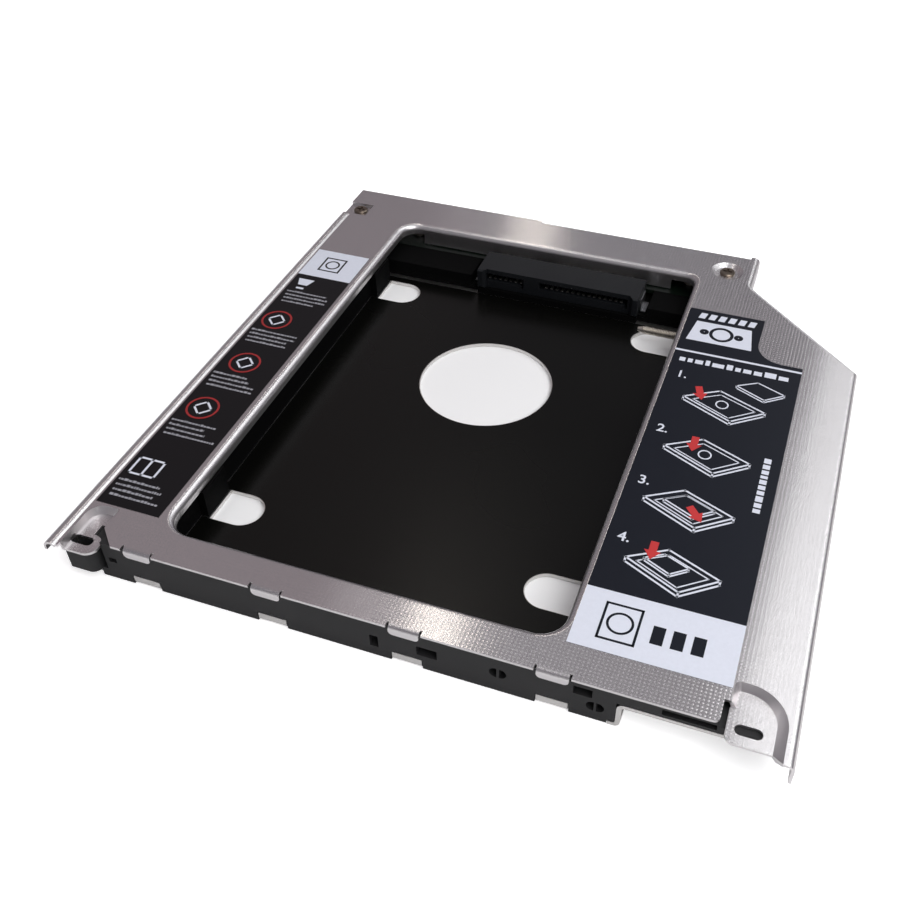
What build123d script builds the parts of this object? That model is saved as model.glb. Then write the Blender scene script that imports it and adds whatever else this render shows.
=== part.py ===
"""Laptop drive caddy: a slim tray that carries a small drive in an optical-drive bay.

Frame: X to the right (towards the thin wing), Y to the rear (towards the connectors),
Z up. The origin is under the middle of the overall box, on the face it rests on.
Sizes are in millimetres.
"""
import os

from build123d import *

os.makedirs("parts", exist_ok=True)

# Overall size
wing_reach = 37.5
body_depth = 127.0
ear_reach = 3.9
overall_height = 9.5

# Sheet, film and label stock
cover_sheet = 0.5
tray_sheet = 0.8
film_thickness = 0.1
label_thickness = 0.12

# Clearances
fold_gap = 0.1
piece_gap = 0.15
thread_gap = 0.05
bore_gap = 0.3
weld = 0.01

# Drive to be held
drive_width = 69.85
drive_side_hole_height = 2.9

# Bay opening in the cover
bay_clearance = 1.25
border_left = 15.2
border_front = 7.0
border_rear = 11.8
near_corner_radius = 4.6
far_left_radius = 4.0
far_right_radius = 2.6
rim_bend = 1.2
rim_drop = 2.2
far_flange_drop = 4.6
far_flange_slit = 0.5
far_flange_notch = 5.6

# Cover edges
bead_width = 2.7
bead_drop = 2.1
bead_crown = 1.3
bead_shoulder = 1.2
bead_groove = 0.45
bead_root = 0.5
bead_reach = 2.7
bead_rear_stop = 11.6
rear_left_step = 0.8
edge_bend = 1.2
flange_drop = 4.1
tab_count = 4
tab_pitch = 24.4
tab_width = 5.2
tab_drop = 1.9
tab_bend = 0.9
inner_fold_share = 0.586
tab_slit = 0.4
tab_root = 1.0
tab_corner = 0.8
rear_flange_drop = 2.4
rear_flange_margin = 2.0
first_tab = 14.05

# Wing
right_margin = 11.1
wing_thickness = 4.55
diagonal_start = 12.0
diagonal_end = 36.4
diagonal_fillet = 3.0

# Ears, each pressed down from the cover, with one slot in each
ear_press = 1.4
ear_pocket_reach = 8.1
ear_front = 2.0
ear_far_slope = 0.7
ear_least_radius = 0.3
slot_length = 4.2
slot_width = 1.9
slot_setback = 0.7
left_ear_width = 5.7
left_ear_radii = (3.0, 0.6)
left_ear_slopes = (0.4, 1.1)
left_slot_inset = 2.7
lobe_width = 6.35
lobe_back = 2.4
lobe_radius = 2.1
ear_window_width = 1.8
ear_window_back = 4.8
corner_cut = 3.4
right_ear_width = 8.6
right_ear_radii = (0.9, 6.4)
right_ear_slopes = (0.9, 1.5)
right_ear_strip = 1.8
right_slot_inset = 5.3
ear_gap = 1.0
ear_notch = 4.2
notch_radius = 0.9
right_ear_corner = 1.6

# Tray floor
hole_radius = 14.0
hole_share = 0.664
window_width = 7.9
window_length = 8.7
right_window_length = 9.7
window_inset = 0.2
front_window = 22.3
rear_window_setback = 6.7
tray_wall_height = 7.5
tray_bend = 1.2
tray_tab_height = 2.2
tray_tab_bend = 1.1
tray_tab_root = 1.6
film_relief = 0.15

# Moulded frame
bar_depth = 5.6
left_rail_setback = 1.2
right_rail_setback = 1.2
pad_length = 7.6
pad_reach = 1.6
pad_height = 6.1
bar_lip_depth = 0.7
bar_lip_bottom = 0.2
bar_corner = 1.0
nose_reach = 1.1
nose_width = 5.4
nose_bottom = 2.2
nose_round_share = 0.95
nose_gap_width = 1.0
nose_gap_depth = 2.6
ear_support_setback = 0.6
pocket_depth = 2.6
upright_pocket_place = (42.0, 3.75)
upright_pocket_size = (1.5, 2.7)
flat_pocket_place = (51.2, 4.55)
flat_pocket_size = (3.5, 2.1)
end_pocket_place = (8.0, 4.9)
end_pocket_size = (1.5, 1.1)
step_pocket_place = (-5.4, 6.35)
step_pocket_size = (3.0, 1.9)
wing_pocket_place = (10.8, 7.05)
wing_pocket_size = (8.2, 1.2)
boss_hole_places = ((-19.05, 4.7), (-3.3, 3.4))
boss_hole_length = 2.9
boss_hole_width = 2.1
boss_rib = 0.4
carrier_depth = 20.4
post_half = 1.9
post_width = 4.4
ledge_height = 2.4
ledge_reach = 0.8
rear_wall = 1.1

# Clamp screws
clamp_radius = 0.95
clamp_length = 12.5
clamp_tip = 1.3
clamp_tip_radius = 0.45
clamp_socket_radius = 0.5
clamp_socket_depth = 0.9
clamp_socket_sides = 6
clamp_crown = 0.15
clamp_rear_reach = 10.4
clamp_front_reach = 0.7
insert_radius = 1.7
insert_length = 4.0

# Drive connector
connector_width = 38.2
connector_height = 4.8
connector_depth = 7.5
connector_setback = 21.4
connector_offset = 5.6
connector_slot_height = 5.2
connector_slot_opening = 1.9
connector_slot_depth = 5.4
connector_cheek = 1.8
signal_width = 9.2
power_width = 20.9
key_width = 3.8
key_leg = 0.7
connector_side_gap = 2.0
guide_width = 1.9
guide_reach = 1.0
guide_chamfer = 0.7
contact_pitch = 1.27
contact_width = 0.6
contact_thickness = 0.25
contact_foot = 1.1
contact_relief = 0.05
contact_setback = 0.6
signal_contacts = 7
power_contacts = 15
clip_thickness = 0.3
clip_depth = 4.0
clip_setback = 1.6
clip_height = 3.2
clip_foot = 1.3

# Adapter board and host plug
board_thickness = 1.0
board_bottom = 3.6
board_from_left = 11.5
board_from_step = 7.9
board_depth = 12.6
board_screw_inset = 5.0
board_screw_head = 1.7
board_screw_head_height = 0.6
board_screw_shank = 0.8
board_screw_length = 3.0
host_width = 24.0
host_height = 4.1
host_depth = 7.0
host_from_left = 20.0
host_wall = 0.6
host_pocket_depth = 5.2
host_tongue = 1.2
host_signal_width = 9.6
host_power_width = 8.2
host_key = 2.4
host_side = 1.9
host_power_pitch = 1.0
host_signal_contacts = 7
host_power_contacts = 6
host_contact_width = 0.5
host_contact_thickness = 0.15
chip_length = 3.2
chip_width = 1.6
chip_height = 0.9
chip_count = 4
chip_pitch = 6.0

# Cover screws
screw_head_radius = 1.7
screw_head_height = 0.6
screw_shank_radius = 0.95
screw_length = 4.6
screw_recess_width = 0.45
screw_recess_reach = 1.0
screw_crown = 0.2
screw_recess_depth = 0.35
dimple_radius = 3.6
dimple_slope = 1.1
dimple_depth = 0.7
left_screw_from_edge = 4.2
left_screw_from_rear = 8.8
left_pocket_front = 2.8
left_pocket_rear = 2.4
left_pocket_right = 2.5
right_screw_from_step = 4.9
right_screw_from_rear = 7.5

# Labels on the cover
left_label_width = 12.8
left_label_length = 88.8
left_label_from_front = 8.6
left_label_margin = 0.4
right_label_width = 25.7
right_label_length = 81.5
right_label_from_front = 6.5
right_label_tab_width = 16.0
right_label_tab_length = 14.3
right_label_curve = 5.5

# Derived places
bay_width = drive_width + bay_clearance
overall_width = bead_width + border_left + bay_width + wing_reach
overall_depth = body_depth + ear_reach
front_y = -overall_depth / 2 + ear_reach
rear_y = overall_depth / 2
right_x = overall_width / 2
left_x = -overall_width / 2 + bead_width
top_z = overall_height
cover_under = top_z - cover_sheet
bay_left = left_x + border_left
bay_right = bay_left + bay_width
bay_front = front_y + border_front
bay_rear = rear_y - border_rear
step_x = bay_right + right_margin
side_x = step_x + tray_sheet + fold_gap + cover_sheet
diagonal_start_y = rear_y - diagonal_start
diagonal_end_y = rear_y - diagonal_end
wing_under = top_z - wing_thickness
wing_floor = wing_under + tray_sheet
wing_edge_x = right_x - cover_sheet - fold_gap
bar_front = front_y + cover_sheet + fold_gap
bar_rear = bar_front + bar_depth
frame_rear = rear_y - cover_sheet - fold_gap
frame_right = step_x - fold_gap
carrier_y = frame_rear - carrier_depth
rail_left_outer = left_x + tray_sheet + fold_gap
rail_left_inner = bay_left - left_rail_setback
rail_right_inner = bay_right + right_rail_setback
rail_front = bar_rear + piece_gap
rail_rear = carrier_y - piece_gap
frame_bottom = tray_sheet + piece_gap
frame_top = cover_under - piece_gap
rim_floor = top_z - rim_drop - piece_gap
pad_face = rail_left_inner + pad_reach
drive_right = pad_face + drive_width
connector_front = rear_y - connector_setback
window_front_y = front_y + front_window
window_rear_y = connector_front - rear_window_setback
hole_x = pad_face + drive_width / 2
hole_y = window_front_y + hole_share * (window_rear_y - window_front_y)
ear_floor = top_z - ear_press
ear_under = ear_floor - cover_sheet
film_top = tray_sheet + film_thickness
clamp_z = film_top + drive_side_hole_height
clamp_rear_tip = rail_right_inner - clamp_rear_reach
clamp_front_tip = rail_right_inner - clamp_front_reach
connector_x = (bay_left + bay_right) / 2 + connector_offset
connector_rear = connector_front + connector_depth
connector_left = connector_x - connector_width / 2
connector_right = connector_x + connector_width / 2
connector_bottom = ledge_height + fold_gap
signal_middle = connector_left + connector_cheek + signal_width / 2
power_middle = connector_left + connector_cheek + signal_width + key_width + power_width / 2
board_top = board_bottom + board_thickness
board_left = left_x + board_from_left
board_right = step_x - board_from_step
board_rear = frame_rear - fold_gap
board_front = board_rear - board_depth
board_middle_y = (board_front + board_rear) / 2
host_left = left_x + host_from_left
host_right = host_left + host_width
host_front = frame_rear - host_depth
host_bottom = board_top + fold_gap
board_components_x = host_right + chip_count * chip_pitch / 2 + chip_length
contact_z = board_top + contact_relief
contact_rows = (
    (signal_middle - contact_pitch * (signal_contacts - 1) / 2, signal_contacts),
    (power_middle - contact_pitch * (power_contacts - 1) / 2, power_contacts),
)
tab_places = [left_x + first_tab + tab_pitch * number for number in range(tab_count)]
left_ear_right = left_x + left_ear_width
left_slot_x = left_x + left_slot_inset
lobe_right = left_x + lobe_width
right_ear_right = right_x - right_ear_strip
right_ear_left = right_ear_right - right_ear_width
right_slot_x = right_ear_right - right_slot_inset
slot_y = front_y + slot_setback
ear_support_y = front_y + ear_support_setback
ear_front_y = front_y - ear_front
pocket_far_y = front_y + ear_pocket_reach
cover_front_right = right_ear_left - ear_gap
bead_left = left_x - bead_width
bead_rear_y = rear_y - bead_rear_stop
rear_left_x = bead_left + rear_left_step
left_screw_x = bead_left + left_screw_from_edge
left_screw_y = rear_y - left_screw_from_rear
right_screw_x = step_x - right_screw_from_step
right_screw_y = rear_y - right_screw_from_rear
screw_seat = top_z - dimple_depth
dimple_under = screw_seat - cover_sheet
far_y = rear_y + ear_reach
near_y = front_y - 2 * ear_reach
rear_flange_left = host_right + rear_flange_margin
rear_flange_right = side_x - rear_flange_margin
bar_lip_rear = bar_front + bar_lip_depth
tray_front = bar_lip_rear + fold_gap


def cover_silhouette(height, inset=0.0):
    """The right-hand outline of the cover, running wide past its other three sides."""
    with BuildSketch(Plane.XY.offset(height)) as outline:
        with BuildLine():
            Polyline(
                (bead_left - ear_reach, near_y),
                (right_x, near_y),
                (right_x, diagonal_end_y),
                (side_x, diagonal_start_y),
                (side_x, far_y),
                (bead_left - ear_reach, far_y),
                close=True,
            )
        make_face()
        inner_corner = outline.vertices().sort_by_distance((side_x, diagonal_start_y, 0))[0]
        fillet(inner_corner, diagonal_fillet)
        if inset:
            offset(amount=-inset, mode=Mode.REPLACE)
    return outline.sketch


def bay_outline(height, wider=0.0):
    """The bay opening, or the edge of its bend when it is drawn wider."""
    with BuildSketch(Plane.XY.offset(height)) as outline:
        with BuildLine():
            FilletPolyline(
                (bay_left - wider, bay_front - wider),
                (bay_right + wider, bay_front - wider),
                (bay_right + wider, bay_rear + wider),
                (bay_left - wider, bay_rear + wider),
                radius=[
                    near_corner_radius + wider,
                    near_corner_radius + wider,
                    far_right_radius + wider,
                    far_left_radius + wider,
                ],
                close=True,
            )
        make_face()
    return outline.sketch


def plan(height, x0, y0, x1, y1):
    """A rectangle in plan, from one corner to the other."""
    with BuildSketch(Plane.XY.offset(height)) as outline:
        with Locations(((x0 + x1) / 2, (y0 + y1) / 2)):
            Rectangle(abs(x1 - x0), abs(y1 - y0))
    return outline.sketch


def bent_edge(plane, drop, sheet, bend, root):
    """The profile of a folded edge: a sheet that ends at x = 0 and turns down there."""
    with BuildSketch(plane) as profile:
        with BuildLine():
            Polyline(
                (0, 0),
                (0, -drop),
                (sheet, -drop),
                (sheet, -sheet),
                (root, -sheet),
                (root, 0),
                close=True,
            )
        make_face()
        fillet(profile.vertices().sort_by_distance((0, 0, 0))[0], bend)
        inner_corner = profile.vertices().sort_by_distance((sheet, -sheet, 0))[0]
        chamfer(inner_corner, inner_fold_share * (bend - sheet))
    return profile.sketch


def slot_outline(height, middle_x, wider=0.0):
    """A round-ended slot along X, in an ear or in what lies under it."""
    with BuildSketch(Plane.XY.offset(height)) as outline:
        with Locations((middle_x, slot_y)):
            SlotOverall(slot_length + 2 * wider, slot_width + 2 * wider)
    return outline.sketch


def window_outline(height, flat_x, middle_y, inward, wider=0.0):
    """A D-shaped window: flat beside the wall, round towards the middle of the tray."""
    radius = window_width / 2
    length = window_length if inward > 0 else right_window_length
    with BuildSketch(Plane.XY.offset(height)) as outline:
        with Locations((flat_x + inward * (length - radius) / 2, middle_y)):
            Rectangle(length - radius + 2 * wider, window_width + 2 * wider)
        with Locations((flat_x + inward * (length - radius), middle_y)):
            Circle(radius + wider)
    return outline.sketch


def ear_pocket(x0, x1, radii, slopes, grow, bottom):
    """The pressed hollow of an ear, open to the front, as two outlines to be lofted."""
    left_slope, right_slope = slopes
    outlines = []
    for height, share in ((top_z, 0.0), (bottom, 1.0)):
        with BuildSketch(Plane.XY.offset(height)) as outline:
            with BuildLine():
                FilletPolyline(
                    (x0 - grow + share * left_slope, near_y),
                    (x0 - grow + share * left_slope, pocket_far_y + grow - share * ear_far_slope),
                    (x1 + grow - share * right_slope, pocket_far_y + grow - share * ear_far_slope),
                    (x1 + grow - share * right_slope, near_y),
                    radius=[
                        0,
                        max(radii[0] + grow - share * left_slope, ear_least_radius),
                        max(radii[1] + grow - share * right_slope, ear_least_radius),
                        0,
                    ],
                    close=True,
                )
            make_face()
        outlines.append(outline.sketch)
    return outlines


# Space under the cover, inside its folded right-hand edges
with BuildPart() as cover_core:
    extrude(
        cover_silhouette(top_z - 2 * flange_drop, cover_sheet),
        amount=2 * flange_drop - cover_sheet,
    )
    core_top = cover_core.edges().group_by(Axis.Z)[-1]
    chamfer(
        core_top.filter_by(lambda edge: edge.center().X > side_x - edge_bend),
        inner_fold_share * (edge_bend - cover_sheet),
    )

# Top cover: one pressed and folded sheet
with BuildPart() as top_cover:
    extrude(cover_silhouette(top_z - flange_drop), amount=flange_drop)
    outer_top = top_cover.edges().group_by(Axis.Z)[-1]
    fillet(outer_top.filter_by(lambda edge: edge.center().X > side_x - edge_bend), edge_bend)
    add(cover_core.part, mode=Mode.SUBTRACT)

    # Pressed ears, first as thick walls and then hollowed
    for grow, ear_bottom, step in (
        (cover_sheet, ear_under, Mode.ADD),
        (0, ear_floor, Mode.SUBTRACT),
    ):
        loft(
            ear_pocket(left_x + bead_root, left_ear_right, left_ear_radii, left_ear_slopes,
                       grow, ear_bottom),
            ruled=True,
            mode=step,
        )
        loft(
            ear_pocket(right_ear_left, right_ear_right, right_ear_radii, right_ear_slopes,
                       grow, ear_bottom),
            ruled=True,
            mode=step,
        )

    # Flat lobe of the left ear, beyond its sloping wall
    lobe_start = left_ear_right - left_ear_slopes[1] - weld
    extrude(
        plan(ear_floor, lobe_start, near_y, lobe_right, front_y + lobe_back),
        amount=ear_press + weld,
        mode=Mode.SUBTRACT,
    )
    extrude(plan(ear_under, lobe_start, near_y, lobe_right, front_y + lobe_back),
            amount=cover_sheet)

    # Flat left side of the right ear, in front of its sloping wall
    ear_flat = right_ear_left + right_ear_slopes[0] + weld
    extrude(
        plan(ear_floor, cover_front_right, near_y, ear_flat, front_y + ear_notch),
        amount=ear_press + weld,
        mode=Mode.SUBTRACT,
    )
    extrude(plan(ear_under, right_ear_left, near_y, ear_flat, front_y + ear_notch),
            amount=cover_sheet)

    # Outline that is kept, with the ears' free edges
    with BuildSketch(Plane.XY.offset(top_z - flange_drop)) as kept:
        with BuildLine():
            Polyline(
                (left_x, ear_front_y),
                (lobe_right, ear_front_y),
                (lobe_right, front_y + lobe_back),
                (left_ear_right - ear_window_width, front_y + lobe_back),
                (left_ear_right - ear_window_width, front_y + ear_window_back),
                (left_ear_right, front_y + ear_window_back),
                (left_ear_right, front_y + corner_cut),
                (left_ear_right + corner_cut, front_y),
                (cover_front_right, front_y),
                (cover_front_right, front_y + ear_notch),
                (right_ear_left, front_y + ear_notch),
                (right_ear_left, ear_front_y),
                (right_ear_right - right_ear_slopes[1], ear_front_y),
                (right_ear_right, front_y - ear_reach),
                (right_x + ear_reach, front_y - ear_reach),
                (right_x + ear_reach, rear_y),
                (rear_left_x, rear_y),
                (rear_left_x, bead_rear_y),
                (left_x, bead_rear_y),
                close=True,
            )
        make_face()
        lobe_corners = kept.vertices().filter_by(lambda corner: abs(corner.X - lobe_right) < weld)
        fillet(lobe_corners, lobe_radius)
        cover_corner = kept.vertices().sort_by_distance((cover_front_right, front_y, 0))[0]
        fillet(cover_corner, notch_radius)
        ear_corner = kept.vertices().sort_by_distance((right_ear_left, ear_front_y, 0))[0]
        fillet(ear_corner, right_ear_corner)
    extrude(amount=2 * flange_drop, mode=Mode.INTERSECT)

    # Bead along the left edge
    bead_plane = Plane(origin=(0, bead_rear_y, top_z), x_dir=(1, 0, 0), z_dir=(0, -1, 0))
    with BuildSketch(bead_plane):
        with BuildLine():
            Line((left_x + bead_root, 0), (left_x + fold_gap, 0))
            Line((left_x + fold_gap, 0), (left_x - bead_root / 2, -bead_groove))
            ThreePointArc(
                (left_x - bead_root / 2, -bead_groove),
                (left_x - bead_crown, 0),
                (bead_left, -bead_shoulder),
            )
            Line((bead_left, -bead_shoulder), (bead_left, -bead_drop))
            Line((bead_left, -bead_drop), (bead_left + cover_sheet, -bead_drop))
            Line((bead_left + cover_sheet, -bead_drop), (bead_left + cover_sheet, -bead_shoulder))
            ThreePointArc(
                (bead_left + cover_sheet, -bead_shoulder),
                (left_x - bead_crown, -cover_sheet),
                (left_x - bead_root, -bead_groove - cover_sheet),
            )
            Line((left_x - bead_root, -bead_groove - cover_sheet), (left_x + fold_gap, -cover_sheet))
            Line((left_x + fold_gap, -cover_sheet), (left_x + bead_root, -cover_sheet))
            Line((left_x + bead_root, -cover_sheet), (left_x + bead_root, 0))
        make_face()
    extrude(amount=bead_rear_y - front_y + bead_reach)

    # Bay opening with its rim bent down all round
    extrude(bay_outline(cover_under - cover_sheet), amount=3 * cover_sheet, mode=Mode.SUBTRACT)
    with BuildSketch(Plane.XY.offset(top_z - rim_drop)):
        add(bay_outline(0, cover_sheet))
        add(bay_outline(0), mode=Mode.SUBTRACT)
    extrude(amount=rim_drop)
    for edge_z, wider in ((top_z, 0), (cover_under, cover_sheet)):
        rim_edges = top_cover.edges().filter_by(
            lambda edge: abs(edge.center().Z - edge_z) < weld
            and bay_left - wider - weld < edge.center().X < bay_right + wider + weld
            and bay_front - wider - weld < edge.center().Y < bay_rear + wider + weld
        )
        if wider:
            chamfer(rim_edges, inner_fold_share * (rim_bend - cover_sheet))
        else:
            fillet(rim_edges, rim_bend)
    extrude(
        plan(
            top_z - far_flange_drop,
            bay_left + far_left_radius + far_flange_slit,
            bay_rear,
            bay_right - far_flange_notch,
            bay_rear + cover_sheet,
        ),
        amount=far_flange_drop - rim_bend,
    )

    # Slots in the ears
    extrude(slot_outline(ear_under - cover_sheet, left_slot_x), amount=ear_press,
            mode=Mode.SUBTRACT)
    extrude(slot_outline(ear_under - cover_sheet, right_slot_x), amount=ear_press,
            mode=Mode.SUBTRACT)

    # Tabs bent down over the front bar
    for tab_x in tab_places:
        notch_half = tab_width / 2 + tab_slit
        extrude(
            plan(cover_under - cover_sheet, tab_x - notch_half, front_y - tab_root,
                 tab_x + notch_half, front_y + tab_root),
            amount=3 * cover_sheet,
            mode=Mode.SUBTRACT,
        )
        tab_plane = Plane(
            origin=(tab_x - tab_width / 2, front_y, top_z),
            x_dir=(0, 1, 0),
            z_dir=(1, 0, 0),
        )
        extrude(
            bent_edge(tab_plane, tab_drop, cover_sheet, tab_bend, tab_root + weld),
            amount=tab_width,
        )
    tab_corners = top_cover.edges().filter_by(Axis.Y).filter_by(
        lambda edge: abs(edge.center().Z - top_z + tab_drop) < weld
        and edge.center().Y < front_y + cover_sheet
        and min(abs(edge.center().X - tab_x) for tab_x in tab_places) < tab_width
    )
    fillet(tab_corners, tab_corner)

    # Flange bent down along the rear edge, beside the host plug
    extrude(
        plan(cover_under - cover_sheet, rear_flange_left, rear_y - edge_bend,
             rear_flange_right, far_y),
        amount=3 * cover_sheet,
        mode=Mode.SUBTRACT,
    )
    rear_flange_plane = Plane(
        origin=(rear_flange_right, rear_y, top_z),
        x_dir=(0, -1, 0),
        z_dir=(-1, 0, 0),
    )
    extrude(
        bent_edge(rear_flange_plane, rear_flange_drop, cover_sheet, edge_bend,
                  edge_bend + weld),
        amount=rear_flange_right - rear_flange_left,
    )

    # Seats of the two cover screws
    extrude(
        plan(dimple_under, rear_left_x, left_screw_y - left_pocket_front - cover_sheet,
             left_screw_x + left_pocket_right + cover_sheet,
             left_screw_y + left_pocket_rear + cover_sheet),
        amount=top_z - dimple_under,
    )
    extrude(
        plan(screw_seat, rear_left_x - cover_sheet, left_screw_y - left_pocket_front,
             left_screw_x + left_pocket_right, left_screw_y + left_pocket_rear),
        amount=2 * dimple_depth,
        mode=Mode.SUBTRACT,
    )
    with Locations((right_screw_x, right_screw_y, dimple_under)):
        Cone(
            dimple_radius - dimple_slope + cover_sheet,
            dimple_radius + cover_sheet,
            dimple_depth + cover_sheet,
            align=(Align.CENTER, Align.CENTER, Align.MIN),
        )
    with Locations((right_screw_x, right_screw_y, screw_seat)):
        Cone(
            dimple_radius - dimple_slope,
            dimple_radius,
            dimple_depth,
            align=(Align.CENTER, Align.CENTER, Align.MIN),
            mode=Mode.SUBTRACT,
        )
    for screw_place in ((left_screw_x, left_screw_y), (right_screw_x, right_screw_y)):
        with Locations((*screw_place, screw_seat)):
            Hole(screw_shank_radius + piece_gap)


# Room for the bent rim, taken out of the moulded frame
with BuildPart() as rim_space:
    extrude(bay_outline(rim_floor, cover_sheet + piece_gap), amount=2 * rim_drop)

# Bottom tray: floor, left wall, step and wing shelf folded from one sheet
with BuildPart() as bottom_tray:
    tray_plane = Plane(origin=(0, frame_rear, 0), x_dir=(1, 0, 0), z_dir=(0, -1, 0))
    with BuildSketch(tray_plane) as tray_profile:
        with BuildLine():
            Polyline(
                (left_x, tray_wall_height),
                (left_x, 0),
                (step_x + tray_sheet, 0),
                (step_x + tray_sheet, wing_under),
                (wing_edge_x, wing_under),
                (wing_edge_x, wing_floor),
                (step_x, wing_floor),
                (step_x, tray_sheet),
                (left_x + tray_sheet, tray_sheet),
                (left_x + tray_sheet, tray_wall_height),
                close=True,
            )
        make_face()
        for corner_x, corner_z in (
            (left_x, 0),
            (step_x + tray_sheet, 0),
            (step_x, wing_floor),
        ):
            fillet(
                tray_profile.vertices().sort_by_distance((corner_x, corner_z, 0))[0],
                tray_bend,
            )
        for corner_x, corner_z in (
            (left_x + tray_sheet, tray_sheet),
            (step_x, tray_sheet),
            (step_x + tray_sheet, wing_under),
        ):
            chamfer(
                tray_profile.vertices().sort_by_distance((corner_x, corner_z, 0))[0],
                inner_fold_share * (tray_bend - tray_sheet),
            )
    extrude(amount=frame_rear - bar_front)
    extrude(
        cover_silhouette(-top_z, cover_sheet + fold_gap),
        amount=3 * top_z,
        mode=Mode.INTERSECT,
    )

    # Floor set back behind the lip of the front bar
    extrude(
        plan(-tray_sheet, bead_left, near_y, step_x - tray_bend, tray_front),
        amount=overall_height,
        mode=Mode.SUBTRACT,
    )

    # Corner cut away under the right ear, and notch beside the left cover screw
    extrude(
        plan(wing_under - tray_sheet, right_ear_left + right_ear_slopes[0], near_y, right_x,
             pocket_far_y + cover_sheet + bore_gap),
        amount=wing_thickness,
        mode=Mode.SUBTRACT,
    )
    extrude(
        plan(ledge_height, left_x - tray_sheet, left_screw_y - post_half - piece_gap,
             left_x + 2 * tray_sheet, left_screw_y + post_half + piece_gap),
        amount=overall_height,
        mode=Mode.SUBTRACT,
    )

    # Round hole and windows in the floor
    with Locations((hole_x, hole_y, tray_sheet)):
        Hole(hole_radius)
    for window_y in (window_front_y, window_rear_y):
        extrude(window_outline(-tray_sheet, pad_face + window_inset, window_y, 1),
                amount=3 * tray_sheet, mode=Mode.SUBTRACT)
        extrude(window_outline(-tray_sheet, drive_right + window_inset, window_y, -1),
                amount=3 * tray_sheet, mode=Mode.SUBTRACT)

    # Clearance holes in the step for the clamp screws
    for screw_y in (window_front_y, window_rear_y):
        with Locations(Plane(origin=(step_x - tray_sheet, screw_y, clamp_z), z_dir=(1, 0, 0))):
            Cylinder(
                clamp_radius + piece_gap,
                3 * tray_sheet,
                align=(Align.CENTER, Align.CENTER, Align.MIN),
                mode=Mode.SUBTRACT,
            )

    # Tabs bent up into the front bar and the rear carrier
    for tab_x in tab_places:
        notch_half = tab_width / 2 + tab_slit
        for edge_y, inward in ((bar_front, 1), (frame_rear, -1)):
            extrude(
                plan(-tray_sheet, tab_x - notch_half, edge_y - inward * tray_tab_root,
                     tab_x + notch_half, edge_y + inward * tray_tab_root),
                amount=3 * tray_sheet,
                mode=Mode.SUBTRACT,
            )
            tab_plane = Plane(
                origin=(tab_x + inward * tab_width / 2, edge_y, 0),
                x_dir=(0, inward, 0),
                z_dir=(-inward, 0, 0),
            )
            extrude(
                bent_edge(tab_plane, tray_tab_height, tray_sheet, tray_tab_bend,
                          tray_tab_root + weld),
                amount=tab_width,
            )

# Insulating film on the floor, between the rails
with BuildPart() as floor_film:
    extrude(
        plan(tray_sheet, rail_left_inner + film_relief, bar_rear + film_relief,
             rail_right_inner - film_relief, connector_front - ledge_reach - film_relief),
        amount=film_thickness,
    )
    with Locations((hole_x, hole_y, film_top)):
        Hole(hole_radius + film_relief)
    for window_y in (window_front_y, window_rear_y):
        extrude(window_outline(0, pad_face + window_inset, window_y, 1, film_relief),
                amount=2 * tray_sheet, mode=Mode.SUBTRACT)
        extrude(window_outline(0, drive_right + window_inset, window_y, -1, film_relief),
                amount=2 * tray_sheet, mode=Mode.SUBTRACT)
        extrude(
            plan(0, rail_left_inner - pad_reach, window_y - pad_length / 2 - film_relief,
                 pad_face + film_relief, window_y + pad_length / 2 + film_relief),
            amount=2 * tray_sheet,
            mode=Mode.SUBTRACT,
        )
    extrude(
        plan(0, left_x, carrier_y - film_relief, connector_left - film_relief, rear_y),
        amount=2 * tray_sheet,
        mode=Mode.SUBTRACT,
    )
    extrude(
        plan(0, connector_right + film_relief, carrier_y - film_relief, step_x, rear_y),
        amount=2 * tray_sheet,
        mode=Mode.SUBTRACT,
    )

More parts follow.
